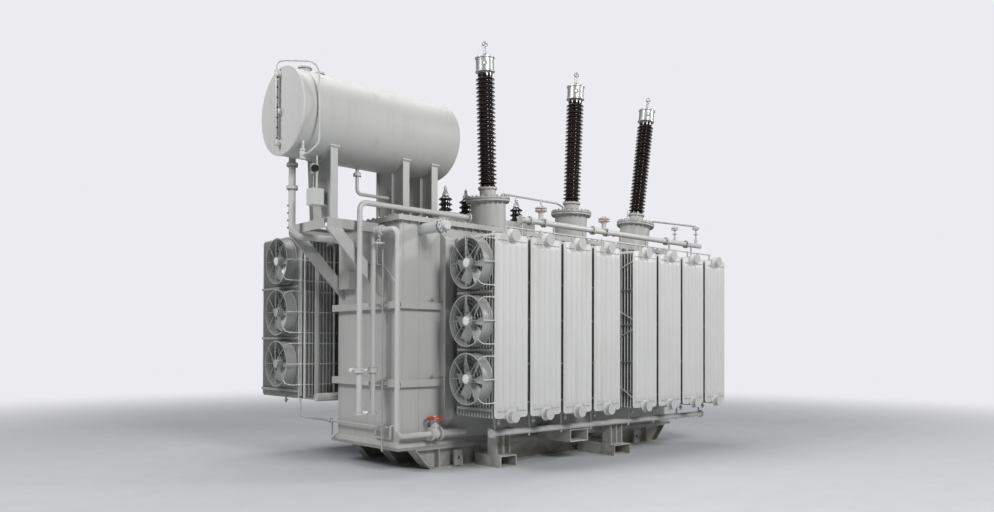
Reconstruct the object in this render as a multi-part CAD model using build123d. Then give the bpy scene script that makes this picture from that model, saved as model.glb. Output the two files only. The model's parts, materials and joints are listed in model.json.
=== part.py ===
from build123d import *
import os
from math import cos, degrees, hypot, pi, sin, sqrt

# An oil-filled power transformer in millimetres. X runs along the tank from the end with the
# fans to the far end, Y runs across it and Z is up. The origin is on the ground, under the
# middle of the tank.

# Skid
skid_height = 250
skid_near_overhang = -200
skid_far_overhang = -90
skid_flange_width = 180
skid_flange = 16
skid_web = 14
skid_nose = 220
cross_member_places = (-1700, -600, 600, 1700)
cross_member_width = 120
base_plate_thickness = 35
plate_overhang = 55

# Tank
tank_length = 5180
tank_width = 1350
tank_height = 2645
tank_corner = 20
rim_thickness = 30
cover_thickness = 30
band_height = 85
band_heights_over_base = (702, 1617)
stiffener_width = 125
stiffener_depth = 110
stiffener_depth_left = 52
stiffener_foot_gap = 215
stiffener_head_gap = 90
stiffener_offsets = (658, 2325, -1495, -355)
base_fillet = 60

# Outriggers, jacking beams, gussets and lugs
outrigger_wall = 12
outrigger_height = 145
outriggers = ((-1335, 270, 470), (610, 340, 660))
post_height = 300
post_width = 240
post_depth = 150
post_set_back = 100
post_plate = 14
jacking_place = -190
jacking_width = 340
jacking_height = 160
jacking_reach = 590
jacking_overlap = 10
gusset_thickness = 16
gusset_offsets = (554, 1195, -1195, -554)
lug_offsets = (835, -835)
lug_thickness = 30
lug_width = 130
lug_height = 190
lug_hole = 22

# Radiators
panel_width = 520
radiator_pitch = 570
group_gap = 220
bank_overrun = 240
panel_foot_gap = 365
panel_head_gap = 180
panel_thickness = 10
panel_pitch = 50
panel_corner = 40
header_radius = 45
header_inset = 15
header_stand_out = 70
header_cap_radius = 68
header_cap_thickness = 14
face_rib_count = 7
face_rib_width = 34
face_rib_depth = 9
face_rib_margin = 170
right_panels = 14
right_bank_offset = 640
right_bank_stand_out = 945
left_panels = 22
left_bank_offset = -420
left_bank_stand_out = 225
left_bank_raise = 140
header_flange_radius = 70
flange_thickness = 22
manifold_radius = 52
manifold_stand_out = 113
manifold_feed_places = (-1800, 300)
manifold_overrun = 92
tie_width = 30
tie_thickness = 8
seat_gap = 0.3

# Fans
fan_radius = 288
fan_wall = 6
fan_depth = 150
fan_pitch = 665
fan_raise = 55
fan_right_inset = 330
fan_left_inset = 370
guard_bar = 9
guard_spokes = 8
motor_radius = 52
motor_front = 12
motor_length = 66
motor_bore = 30
shaft_radius = 10
shaft_clearance = 0.05
rotor_hub_radius = 62
rotor_hub_length = 46
rotor_gap = 6
blade_count = 6
blade_root = 95
blade_root_sink = 12
blade_tip_width = 150
blade_tip_radius = 270
blade_thickness = 5
blade_angle = 32

# Conservator
conservator_radius = 495
conservator_length = 2255
conservator_overhang = 1160
conservator_clearance = 633
end_rim = 6
end_plate = 22
end_knuckle = 70
end_dish_length = 95
seam_band_offset = 180
seam_band_width = 30
seam_band_height = 4
nozzles = ((287, 67, 60), (485, 40, 45))
nozzle_flange = 14
pedestal_places = (-665, 348, 790)
pedestal_depth = 95
pedestal_right = 320
pedestal_left = (243, 262, 262)
pedestal_left_foot = (155, 262, 262)
pedestal_plate = 14
saddle_thickness = 12
saddle_overhang = 16
rib_y = -75

# Brackets at the end wall
bracket_reach = 750
bracket_right_y = -320
bracket_left_y = 594
bracket_height = 110
bracket_drop = 5
bracket_flange = 75
bracket_web = 10
strut_width = 90
strut_leg = 60
strut_wall = 12
strut_drop = 755
brace_low = (-609, -727)
brace_high = (-280, -456)
brace_width = 46

# High-voltage side
turret_offsets = (1710, 3330, -370)
turret_tilts = (-4.3, 0.0, 5.9)
turret_y = -320
bushing_lean = 2.6
turret_radius = 234
turret_length = 425
turret_sink = 80
turret_foot_ring = 45
turret_foot_thickness = 20
turret_flange_radius = 293
turret_flange = 28
neck_radius = 108
neck_length = 165
neck_flange_radius = 128
neck_flange = 24
porcelain_length = 1480
porcelain_end = 38
porcelain_core = 88
shed_radius = 127
shed_count = 26
cap_radius = 120
cap_lid = 10
cap_foot = 82
cap_length = 235
terminal_radius = 20
terminal_length = 190

# Low-voltage side
low_pocket_height = 300
low_pocket = (-1350, 480, 150, 480)
low_bushing_places = (-1110, -740, -245, 250)
low_bushing_y = 315
low_core = 53
low_foot = 20
low_shed_radius = 96
low_shed_count = 5
low_shed_pitch = 46
low_neck = 16
low_cone_radius = 44
low_cone_height = 78
low_stem_radius = 12
low_stem_length = 140

# Conservator pipework
oil_down_pipe = (-865, 300)
oil_down_radius = 41
oil_down_elbow = 50
oil_down_bend = 120
oil_down_flanges = (515, 787)
relief_pipe_place = -154
relief_pipe_radius = 21
relief_pipe_drop = 808
relief_pipe_bend = 60
relief_flange_drop = 578
relay_pipe_place = 903
relay_pipe_radius = 34
relay_flange_drop = 648
pipe_flange_stand_out = 26
pipe_flange_thickness = 32
gauge_y = 48
gauge_width = 44
gauge_depth = 40
gauge_low = -394
gauge_high = 473
gauge_block = 90
vent_radius = 11
vent_side = -530
vent_inset = 133
vent_rise = 93
vent_bend = 50
vent_head_drop = 160
vent_foot_rise = 120
vent_foot_reach = 200
vent_foot_drop = 10
vent_valve_foot = 60
vent_valve_drop = 66
vent_valve_inset = 230
vent_valve_radius = 34
breather_shelf_height = 90
breather_length = 146
breather_ys = (-182, -37)
breather_box_height = 178
breather_tube_radius = 12
breather_tube_inset = 40
breather_body = (180, 290)
breather_body_radius = 52

# End-wall pipework, measured from the end wall
riser_radius = 32
riser_place = (-370, -400)
riser_foot = 385
riser_over_cover = 140
riser_run_end = 1300
second_riser_place = (-185, -400)
third_riser_reach = 115
oil_pipe_stand_out = 120
crossover_drop = 120
crossover_valve_share = 0.27
small_wheel_drop = 150
small_wheel_radius = 64
small_wheel_rim = 6
small_wheel_hub = 16
small_wheel_stem = 8
conduit_place = (-110, -490)
conduit_radius = 10
conduit_foot = -50
conduit_head = 337
loop_radius = 12
loop_bend = 26
upper_loop = (-289, 60, -194, -493)
lower_loop_ys = (-547, -237)
lower_loop_reach = 34
lower_loop_heights = (92, 217, 242)
lower_loop_bend = 18
drain_run_height = 220
drain_drop_height = 286
drain_turn = (-72, 114)
drain_end = -454
drain_branch_foot = 33
drain_bend = 40
clamp_thickness = 12
clamp_height = 40
clamp_lift = 20
drain_pipe_radius = 15
instrument_box = (100, 268, 502)
instrument_lift = 186
instrument_height = 217

# Oil, gas and drain pipework
oil_pipe_radius = 45
oil_pipe_lift = 145
gate_valve_offset = 433
gate_valve_length = 150
gate_body_extra = 12
gate_flange_extra = 38
bonnet_height = 110
bonnet_radius = 38
bonnet_flange_radius = 52
yoke_radius = 20
handwheel_lift = 186
handwheel_radius = 98
handwheel_rim = 9
handwheel_hub = 24
stem_radius = 11
wheel_spokes = 5
wheel_rim_round = 0.85
wheel_spoke_share = 0.77
wheel_hub_share = 1.5
oil_pipe_end = -1700
side_stub_radius = 65
side_stub_place = 315
side_stub_drop = 80
side_stub_reach = 495
side_flange_gap = 60
side_flange_extra = 22
side_head_inset = 15
gas_pipe_radius = 36
gas_pipe_stand_out = 525
gas_pipe_lift = 38
gas_pipe_ends = (793, -26)
gas_pipe_flanges = (967, 1217, 2163, 2435, -916, -403)
gas_columns = (1164, 2394, -686, -132)
gas_column_heights = (290, 200, 210, 285)
column_radius = 13
column_flange_share = 0.62
column_foot_share = 0.35
bleed_pipe_stand_out = 840
bleed_pipe_radius = 9
bottom_pipe_stand_out = 655
bottom_pipe_drop = 215
bottom_pipe_ends = (200, -200)
bottom_pipe_radius = 37
stub_pipe_radius = 12
drain_stub_place = 833
drain_stub_reach = 290
drain_stub_radius = 40
drain_stub_drop = 60
drain_flange_radius = 65
turret_vent_radius = 14
turret_vent_bend = 24
turret_vent_rise = (42, 50)
turret_vent_step = 260
turret_vent_feet = ((95, -180), (-250, -60), (183, -180))
vent_foot_gap = 1.6

# What the sizes above give
half_length = tank_length / 2
half_width = tank_width / 2
base_top = skid_height + base_plate_thickness
rim_bottom = base_top + tank_height
tank_top = rim_bottom + rim_thickness
cover_top = tank_top + cover_thickness
plate_x = half_length + plate_overhang
plate_y = half_width + plate_overhang
skid_beam_pitch = plate_y - skid_flange_width / 2
band_levels = [base_top + height for height in band_heights_over_base]
bank_room = tank_length - right_bank_offset - group_gap + bank_overrun
radiators_per_group = int(bank_room // (2 * radiator_pitch))
bank_length = (2 * radiators_per_group - 1) * radiator_pitch + group_gap + panel_width
right_bank_start = -half_length + right_bank_offset
right_bank_end = right_bank_start + bank_length
right_bank_face = -half_width - right_bank_stand_out
right_bank_bottom = base_top + panel_foot_gap
panel_height = rim_bottom - panel_head_gap - right_bank_bottom
left_bank_start = -half_length + left_bank_offset
left_bank_face = half_width + left_bank_stand_out
left_bank_bottom = right_bank_bottom + left_bank_raise
left_bank_outer = left_bank_face + (left_panels - 1) * panel_pitch + panel_thickness
manifold_y = half_width + manifold_stand_out
conservator_near = -half_length - conservator_overhang
conservator_far = conservator_near + conservator_length
conservator_height = cover_top + conservator_clearance + conservator_radius
bracket_outer = -half_length - bracket_reach
bracket_top = rim_bottom - bracket_drop
oil_pipe_height = base_top + oil_pipe_lift
gate_valve_place = -half_length + gate_valve_offset
handwheel_height = oil_pipe_height + handwheel_lift
riser_top = cover_top + riser_over_cover
third_riser_place = (-third_riser_reach, -half_width - oil_pipe_stand_out)
crossover_height = rim_bottom - crossover_drop
low = (Align.CENTER, Align.CENTER, Align.MIN)


def places(start, end, offsets):
    """Places along X: positive offsets count from the start, negative ones back from the end."""
    return [start + offset if offset >= 0 else end + offset for offset in offsets]


def tank_places(offsets):
    return places(-half_length, half_length, offsets)


def bank_places(offsets):
    return places(right_bank_start, right_bank_end, offsets)


def block(xs, ys, zs):
    """A box between two values of each coordinate."""
    size = [abs(b - a) for a, b in (xs, ys, zs)]
    middle = [(a + b) / 2 for a, b in (xs, ys, zs)]
    return Pos(*middle) * Box(*size)


def rod(start, end, radius):
    """A round bar from one point to another."""
    along = Vector(*end) - Vector(*start)
    return Plane(origin=start, z_dir=along) * Cylinder(radius, along.length, align=low)


def pipe(points, radius, bend):
    """A round pipe through the points, with bends at its corners."""
    path = FilletPolyline(*points, radius=bend) if len(points) > 2 else Line(*points)
    section = Plane(origin=path @ 0, z_dir=path % 0) * Circle(radius)
    return sweep(section, path)


def collar(centre, direction, radius, thickness):
    """A disc such as a pipe flange, centred on a point."""
    plane = Plane(origin=centre, z_dir=direction)
    return plane * Cylinder(radius, thickness)


def ring(centre, direction, outer, inner, length):
    """A flat ring or short tube that starts at its centre point."""
    plane = Plane(origin=centre, z_dir=direction)
    return plane * (Cylinder(outer, length, align=low) - Cylinder(inner, length, align=low))


def prism(outline, origin, x_dir, z_dir, length):
    """A closed outline, drawn on a plane and extruded along its normal."""
    face = Plane(origin=origin, x_dir=x_dir, z_dir=z_dir) * make_face(Polyline(*outline, close=True))
    return extrude(face, length)


def across(outline, x, length):
    """An outline of (y, z) points, extruded along X."""
    return prism(outline, (x, 0, 0), (0, 1, 0), (1, 0, 0), length)


def along_y(outline, y, length):
    """An outline of (x, z) points, extruded along Y."""
    return prism(outline, (0, y + length, 0), (1, 0, 0), (0, -1, 0), length)


def group(pieces):
    """Like pieces that share one node."""
    return Compound(children=[solid for piece in pieces for solid in piece.solids()])


def write(name, shape):
    shape.label = name
    export_step(shape, f"parts/{name}.step")


def mirrored(pieces):
    """Pieces of the right side, with their copies on the left side."""
    return pieces + [mirror(piece, about=Plane.XZ) for piece in pieces]


def skid_beams():
    """Three I-beams with sloping noses."""
    half = skid_flange_width / 2
    web = skid_web / 2
    inner = skid_height - skid_flange
    near = -half_length - skid_near_overhang
    far = half_length + skid_far_overhang
    beam = across([
        (-half, 0), (half, 0), (half, skid_flange), (web, skid_flange), (web, inner),
        (half, inner), (half, skid_height), (-half, skid_height), (-half, inner),
        (-web, inner), (-web, skid_flange), (-half, skid_flange),
    ], near, far - near)
    for end, inward in ((near, skid_nose), (far, -skid_nose)):
        corner = [(end, inner), (end, -1), (end + inward, -1), (end + inward, 0)]
        beam -= along_y(corner, -half - 1, skid_flange_width + 2)
        nose = [(end, inner), (end + inward, 0), (end + inward * 1.08, 0), (end + inward * 0.08, inner)]
        beam += along_y(nose, -half, skid_flange_width)
    return group([Pos(0, row * skid_beam_pitch, 0) * beam for row in (-1, 0, 1)])


def cross_members():
    """Box members between the webs of the skid beams."""
    pieces = []
    side = cross_member_width / 2
    web = skid_web / 2
    for place in cross_member_places:
        for row in (0, 1):
            ys = ((row - 1) * skid_beam_pitch + web, row * skid_beam_pitch - web)
            member = block((place - side, place + side), ys, (skid_flange, skid_height - skid_flange))
            pieces.append(member)
    return group(pieces)


def open_box(xs, start, reach, zs):
    """A box section that leaves the right side of the skid and is open at its outer end."""
    wall = outrigger_wall
    outer = block(xs, (start - reach, start), zs)
    inner_ys = (start - reach - 1, start - wall)
    return outer - block((xs[0] + wall, xs[1] - wall), inner_ys, (zs[0] + wall, zs[1] - wall))


def outrigger_boxes():
    """Open box sections beside the skid, each with a ribbed post that reaches up to the radiators."""
    pieces = []
    start = -skid_beam_pitch - skid_flange_width / 2
    for place, width, reach in outriggers:
        box = open_box((place - width / 2, place + width / 2), start, reach, (0, outrigger_height))
        front = start - reach + post_set_back
        ys = (front, front + post_depth)
        top = outrigger_height + post_height
        half = post_width / 2
        for x in (place - half, place - post_plate / 2, place + half - post_plate):
            box += block((x, x + post_plate), ys, (outrigger_height, top))
        middle = front + post_depth / 2
        web_ys = (middle, middle + post_plate)
        box += block((place - half, place + half), web_ys, (outrigger_height, top))
        box += block((place - half, place + half + post_set_back), ys, (top, top + post_plate))
        pieces.append(box)
    return group(mirrored(pieces))


def jacking_beams():
    """Short box beams at the base plate, where jacks lift the transformer."""
    xs = (jacking_place - jacking_width / 2, jacking_place + jacking_width / 2)
    bottom = skid_height - jacking_overlap
    return group(mirrored([open_box(xs, -plate_y, jacking_reach, (bottom, bottom + jacking_height))]))


def gussets():
    """Upright ribs from the skid beams to the edge of the base plate, and the pulling lugs."""
    pieces = []
    web_face = -skid_beam_pitch - skid_web / 2
    edge = -skid_beam_pitch - skid_flange_width / 2
    inner = skid_height - skid_flange
    for place in tank_places(gusset_offsets):
        xs = (place - gusset_thickness / 2, place + gusset_thickness / 2)
        pieces.append(block(xs, (edge, web_face), (skid_flange, inner)))
    for place in tank_places(lug_offsets):
        plate = block(
            (place - lug_width / 2, place + lug_width / 2),
            (edge - lug_thickness, edge),
            (skid_flange, skid_flange + lug_height),
        )
        middle = skid_flange + lug_height / 2
        hole = rod((place, edge + 1, middle), (place, edge - lug_thickness - 1, middle), lug_hole)
        pieces.append(plate - hole)
    return group(mirrored(pieces))


def tank_body():
    """The tank, with the sloped weld plate round its foot."""
    body = block((-half_length, half_length), (-half_width, half_width), (base_top, tank_top))
    body = fillet(body.edges().filter_by(Axis.Z), tank_corner)
    spread = plate_overhang - 10
    foot = loft([
        Pos(0, 0, base_top) * Rectangle(tank_length + 2 * spread, tank_width + 2 * spread),
        Pos(0, 0, base_top + base_fillet) * Rectangle(tank_length - 1, tank_width - 1),
    ])
    return body + foot


def frame_ring(zs):
    """A flat ring that runs round the tank wall."""
    outer = block((-plate_x, plate_x), (-plate_y, plate_y), zs)
    return outer - tank


def stiffener(place, side, depth):
    """A box stiffener with sloped ends on a long wall, open where the bands cross it."""
    wall = side * half_width
    slope = depth * 0.8
    bottom = base_top + stiffener_foot_gap
    top = rim_bottom - stiffener_head_gap
    column = across([
        (wall, bottom), (wall + side * depth, bottom + slope),
        (wall + side * depth, top - slope), (wall, top),
    ], place - stiffener_width / 2, stiffener_width)
    for level in band_levels:
        column -= block(
            (place - stiffener_width, place + stiffener_width),
            (wall, wall + side * plate_overhang),
            (level, level + band_height),
        )
    return column


def radiator_places(bank_start):
    """Near edge of each radiator in a bank: two groups with a gap between them."""
    places = []
    for number in range(2 * radiators_per_group):
        gap = group_gap if number >= radiators_per_group else 0
        places.append(bank_start + number * radiator_pitch + gap)
    return places


def face_panel(start, y, bottom):
    """The pressed outer panel of a radiator, with its upright ribs and rounded corners."""
    middle = start + panel_width / 2
    top = bottom + panel_height
    plate = block((start, start + panel_width), (y, y + panel_thickness), (bottom, top))
    plate = fillet(plate.edges().filter_by(Axis.Y), panel_corner)
    step = panel_width / (face_rib_count + 1)
    for number in range(face_rib_count):
        x = start + step * (number + 1)
        half = face_rib_width / 2
        zs = (bottom + face_rib_margin, top - face_rib_margin)
        plate += block((x - half, x + half), (y - face_rib_depth, y), zs)
    for level in (bottom + header_inset, top - header_inset):
        ends = (y - 2 * face_rib_depth, y + 2 * panel_thickness)
        plate -= rod((middle, ends[0], level), (middle, ends[1], level), header_radius + seat_gap)
    return plate


def inner_panels(start, face_y, bottom, count):
    """The plain panels behind the face panel, each seated on its two headers."""
    pieces = []
    inset = header_inset + header_radius + seat_gap
    for number in range(1, count):
        y = face_y + number * panel_pitch
        zs = (bottom + inset, bottom + panel_height - inset)
        pieces.append(block((start, start + panel_width), (y, y + panel_thickness), zs))
    return pieces


def header_levels(bottom):
    return (bottom + header_inset, bottom + panel_height - header_inset)


def right_header(x, z):
    """A header pipe with a disc at its outer end and a valve flange at the tank."""
    outer = right_bank_face - header_stand_out
    header = rod((x, outer, z), (x, -half_width, z), header_radius)
    header += rod((x, outer, z), (x, outer + header_cap_thickness, z), header_cap_radius)
    flange = -half_width - 2 * flange_thickness
    return header + rod((x, flange, z), (x, -half_width, z), header_flange_radius)


def left_header_work():
    """Two manifolds along the tank, fed from its wall, with a header pipe for each radiator."""
    pieces = []
    first = left_starts[0] + panel_width / 2 - manifold_overrun
    last = left_starts[-1] + panel_width / 2 + manifold_overrun
    for z in header_levels(left_bank_bottom):
        run = rod((first, manifold_y, z), (last, manifold_y, z), manifold_radius)
        for place in manifold_feed_places:
            run += rod((place, half_width, z), (place, manifold_y, z), manifold_radius)
        for start in left_starts:
            x = start + panel_width / 2
            run += rod((x, manifold_y, z), (x, left_bank_outer, z), header_radius)
        pieces.append(run)
    return pieces


def ties(bank_start, face_y, count, bottom, levels):
    """Flat bars across the edges of the panels at the near end of a bank, between its fans."""
    pieces = []
    near = bank_start - tie_thickness
    ys = (face_y + panel_pitch, face_y + (count - 1) * panel_pitch + panel_thickness)
    for level in levels:
        zs = (level - tie_width / 2, level + tie_width / 2)
        pieces.append(block((near, bank_start), ys, zs))
    return pieces


def fan_shroud(centre):
    """A fan ring with its front spokes and the motor at the middle, blowing along +X."""
    x, y, z = centre
    shroud = ring(centre, (1, 0, 0), fan_radius, fan_radius - fan_wall, fan_depth)
    for number in range(guard_spokes):
        angle = 2 * pi * number / guard_spokes
        ys = (y, y + fan_radius - fan_wall / 2)
        spoke = block((x, x + guard_bar), ys, (z - guard_bar / 2, z + guard_bar / 2))
        shroud += spoke.rotate(Axis(centre, (1, 0, 0)), degrees(angle))
    motor = rod((x - motor_front, y, z), (x + motor_length, y, z), motor_radius)
    bore_start = x + motor_length - motor_bore
    bore = rod((bore_start, y, z), (x + motor_length + 1, y, z), shaft_radius + shaft_clearance)
    return shroud + motor - bore


def fan_rotor(centre):
    """Hub, shaft and pitched blades of one fan."""
    x, y, z = centre
    hub_start = x + motor_length + rotor_gap
    rotor = rod((hub_start, y, z), (hub_start + rotor_hub_length, y, z), rotor_hub_radius)
    rotor += rod((x + motor_length - motor_bore + 1, y, z), (hub_start, y, z), shaft_radius)
    middle = hub_start + rotor_hub_length / 2
    root = rotor_hub_radius - blade_root_sink
    outline = Polyline(
        (-blade_root / 2, root), (blade_root / 2, root),
        (blade_tip_width / 2, blade_tip_radius * 0.9), (blade_tip_width / 5, blade_tip_radius),
        (-blade_tip_width / 2, blade_tip_radius * 0.94), close=True,
    )
    plane = Plane(origin=(0, 0, 0), x_dir=(0, 1, 0), z_dir=(1, 0, 0))
    flat_blade = extrude(plane * make_face(outline), blade_thickness / 2, both=True)
    blade = Rot(0, 0, blade_angle) * flat_blade
    for number in range(blade_count):
        rotor += Pos(middle, y, z) * Rot(360 * number / blade_count, 0, 0) * blade
    return rotor


def tilted_plane(number):
    """The base of one high-voltage turret, with its Z along the bushing."""
    base = Pos(turret_places[number], turret_y, cover_top)
    return base * Rot(bushing_lean, 0, 0) * Rot(0, turret_tilts[number], 0)


def profile(points):
    """A solid of revolution about Z from its outer points, listed upwards as (radius, z)."""
    outline = Polyline((0, points[0][1]), *points, (0, points[-1][1]), close=True)
    return revolve(Plane.XZ * make_face(outline), Axis.Z)


def turret(number):
    """A turret on the cover, its flange pair, and the neck that carries the porcelain."""
    top = turret_length + neck_length
    body = tilted_plane(number) * profile([
        (turret_radius, -turret_sink), (turret_radius, turret_length - turret_flange),
        (turret_flange_radius, turret_length - turret_flange),
        (turret_flange_radius, turret_length + turret_flange),
        (neck_radius, turret_length + turret_flange), (neck_radius, top - neck_flange),
        (neck_flange_radius, top - neck_flange), (neck_flange_radius, top),
    ])
    place = turret_places[number]
    foot = Cylinder(turret_radius + turret_foot_ring, turret_foot_thickness, align=low)
    body += Pos(place, turret_y, cover_top) * foot
    side = 2 * turret_flange_radius
    xs = (place - side, place + side)
    return body - block(xs, (turret_y - side, turret_y + side), (cover_top - 2 * turret_sink, cover_top))


def porcelain(number):
    start = turret_length + neck_length
    points = [(porcelain_core + 14, start), (porcelain_core + 14, start + porcelain_end)]
    pitch = (porcelain_length - 2 * porcelain_end) / shed_count
    for shed in range(shed_count):
        z = start + porcelain_end + shed * pitch
        points += [(porcelain_core, z), (shed_radius, z + pitch * 0.45)]
    points += [(porcelain_core, start + porcelain_length - porcelain_end)]
    points += [(porcelain_core, start + porcelain_length)]
    return tilted_plane(number) * profile(points)


def bushing_cap(number):
    start = turret_length + neck_length + porcelain_length
    top = start + cap_length
    lid = cap_radius + cap_lid
    return tilted_plane(number) * profile([
        (cap_foot, start), (cap_foot, start + 20), (lid, start + 20), (lid, start + 38),
        (cap_radius, start + 38), (cap_radius, top - 38), (lid, top - 38), (lid, top - 20),
        (terminal_radius, top), (terminal_radius, top + terminal_length),
    ])


def low_bushing(place):
    start = cover_top + low_pocket_height
    points = [(low_core + 14, start), (low_core + 14, start + 14)]
    for shed in range(low_shed_count):
        z = start + low_foot + shed * low_shed_pitch
        points += [(low_core, z), (low_shed_radius, z + 18), (low_core, z + 30)]
    top = start + low_foot + low_shed_count * low_shed_pitch
    points += [(low_core, top), (low_core - 8, top + low_neck)]
    return Pos(place, low_bushing_y, 0) * profile(points)


def low_terminal(place):
    start = cover_top + low_pocket_height + low_foot + low_shed_count * low_shed_pitch + low_neck
    return Pos(place, low_bushing_y, 0) * profile([
        (low_cone_radius, start), (low_stem_radius + 4, start + low_cone_height),
        (low_stem_radius, start + low_cone_height), (low_stem_radius, start + low_stem_length),
    ])


def barrel(start, end, extra=0):
    """A round body on the conservator's axis."""
    z = conservator_height
    return rod((start, 0, z), (end, 0, z), conservator_radius + extra)


def conservator_shell():
    """The rolled shell with its seam band and the nozzles on top."""
    shell = barrel(conservator_near + end_plate, conservator_far - end_dish_length)
    seam = conservator_near + seam_band_offset
    shell += barrel(seam, seam + seam_band_width, seam_band_height)
    top = conservator_height + conservator_radius
    for offset, radius, height in nozzles:
        x = conservator_near + offset
        shell += rod((x, 0, conservator_height), (x, 0, top + height), radius)
        shell += rod((x, 0, top + height - nozzle_flange), (x, 0, top + height), radius + 18)
    return shell


def conservator_far_end():
    """A dished head: a straight rim that turns in through a knuckle."""
    head = barrel(conservator_far - end_dish_length, conservator_far)
    outer = head.edges().group_by(Axis.X)[-1]
    return fillet(outer, end_knuckle)


def foot_level(x):
    return bracket_top if x < -half_length else cover_top


def pedestal(number):
    """A column of a web, a flange plate on each edge, a saddle under the shell and a foot plate."""
    x = -half_length + pedestal_places[number] - pedestal_depth / 2
    right, left, left_foot = -pedestal_right, pedestal_left[number], pedestal_left_foot[number]
    bottom = foot_level(x)
    t = pedestal_plate
    web = [(right, bottom), (left_foot, bottom), (left, conservator_height), (right, conservator_height)]
    middle = x + pedestal_depth / 2
    body = across(web, middle - t / 2, t)
    edges = (
        [(right, bottom), (right + t, bottom), (right + t, conservator_height), (right, conservator_height)],
        [(left_foot - t, bottom), (left_foot, bottom),
         (left, conservator_height), (left - t, conservator_height)],
    )
    for edge in edges:
        body += across(edge, x, pedestal_depth)
    body += block((x, x + pedestal_depth), (right, left_foot), (bottom, bottom + t))
    if bottom == cover_top:
        ys = (rib_y - t / 2, rib_y + t / 2)
        body += block((x, x + pedestal_depth), ys, (bottom, conservator_height))
    x0, x1 = x - saddle_overhang, x + pedestal_depth + saddle_overhang
    cradle = barrel(x0, x1, saddle_thickness)
    lower = conservator_height - conservator_radius * 0.55
    cradle &= block((x0, x1), (right - 20, left + 20), (bottom, lower))
    body += cradle
    body -= block((x0 - 1, x1 + 1), (right - t, left + t), (lower, conservator_height + 1))
    return body - barrel(x0 - 1, x1 + 1)


def bracket_beam(y, facing):
    """A channel from the end wall outwards, its flanges turned to one side."""
    xs = (bracket_outer, -half_length)
    bottom = bracket_top - bracket_height
    beam = block(xs, (y, y + facing * bracket_web), (bottom, bracket_top))
    for z in (bottom, bracket_top - bracket_web):
        beam += block(xs, (y, y + facing * bracket_flange), (z, z + bracket_web))
    return beam


def strut(y, facing):
    """A diagonal angle bar from the outer end of a bracket beam down to the end wall."""
    head = bracket_top - bracket_height
    foot = head - strut_drop
    slant = hypot(bracket_reach, strut_drop)

    def parallelogram(width):
        reach = width * slant / strut_drop
        rise = width * slant / bracket_reach
        return [(bracket_outer, head), (bracket_outer + reach, head),
                (-half_length, foot + rise), (-half_length, foot)]

    low_y, leg_y = sorted((y, y + facing * strut_wall)), sorted((y, y + facing * strut_leg))
    bar = along_y(parallelogram(strut_width), low_y[0], strut_wall)
    return bar + along_y(parallelogram(strut_wall), leg_y[0], strut_leg)


def wall_brace():
    """A flat bar that lies slanting on the end wall beside the risers."""
    (y0, d0), (y1, d1) = brace_low, brace_high
    z0, z1 = rim_bottom + d0, rim_bottom + d1
    outline = [(y0, z0), (y0 + brace_width, z0), (y1, z1), (y1 - brace_width, z1)]
    return across(outline, -half_length - strut_wall, strut_wall)


def bracket_seat():
    """The cross beam and seat plate between the two brackets, under the near pedestal."""
    ys = (bracket_right_y + bracket_flange, bracket_left_y - bracket_flange)
    bottom = bracket_top - bracket_height
    beam = block((bracket_outer, bracket_outer + bracket_web), ys, (bottom, bracket_top))
    seat_end = -half_length + pedestal_places[0] + pedestal_depth / 2 + 40
    return beam + block((bracket_outer, seat_end), ys, (bracket_top - bracket_web, bracket_top))


def under_barrel(y):
    """Height of the underside of the conservator at a distance from its middle."""
    return conservator_height - sqrt(conservator_radius ** 2 - y ** 2)


def conservator_pipes():
    """The flanged pipes under the conservator: to the end wall, to a pedestal and to the cover."""
    clear = barrel(conservator_near, conservator_far, seat_gap)
    top = conservator_height
    wide = oil_down_radius + pipe_flange_stand_out
    x, y = -half_length + oil_down_pipe[0], oil_down_pipe[1]
    elbow = bracket_top - bracket_height - oil_down_elbow
    oil = pipe([(x, y, top), (x, y, elbow), (-half_length, y, elbow)], oil_down_radius, oil_down_bend)
    for drop in oil_down_flanges:
        oil += collar((x, y, top - drop), (0, 0, 1), wide, pipe_flange_thickness)
    x = -half_length + relief_pipe_place
    end = -half_length + pedestal_places[1] - pedestal_plate / 2
    z = top - relief_pipe_drop
    relief = pipe([(x, 0, top), (x, 0, z), (end, 0, z)], relief_pipe_radius, relief_pipe_bend)
    flange_z = top - relief_flange_drop
    wide = relief_pipe_radius + pipe_flange_stand_out
    relief += collar((x, 0, flange_z), (0, 0, 1), wide, pipe_flange_thickness)
    x = -half_length + relay_pipe_place
    relay = rod((x, 0, cover_top), (x, 0, top), relay_pipe_radius)
    flange_z = top - relay_flange_drop
    wide = relay_pipe_radius + pipe_flange_stand_out
    relay += collar((x, 0, flange_z), (0, 0, 1), wide, pipe_flange_thickness)
    relay += rod((x, 0, cover_top), (x, 0, cover_top + flange_thickness), wide)
    return group([oil - clear, relief - clear, relay - clear])


def level_gauge():
    """The gauge case on the flat end, with a block at each end and the float device."""
    x = conservator_near
    half = gauge_width / 2
    bottom, top = conservator_height + gauge_low, conservator_height + gauge_high
    gauge = block((x - gauge_depth, x), (gauge_y - half, gauge_y + half), (bottom, top))
    for start in (bottom, top - gauge_block):
        ys = (gauge_y - half * 1.6, gauge_y + half * 1.6)
        gauge += block((x - gauge_depth * 1.4, x), ys, (start, start + gauge_block))
    middle = (x - gauge_depth * 1.6, gauge_y, conservator_height)
    return gauge + rod(middle, (x, gauge_y, conservator_height), half * 1.8)


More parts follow.
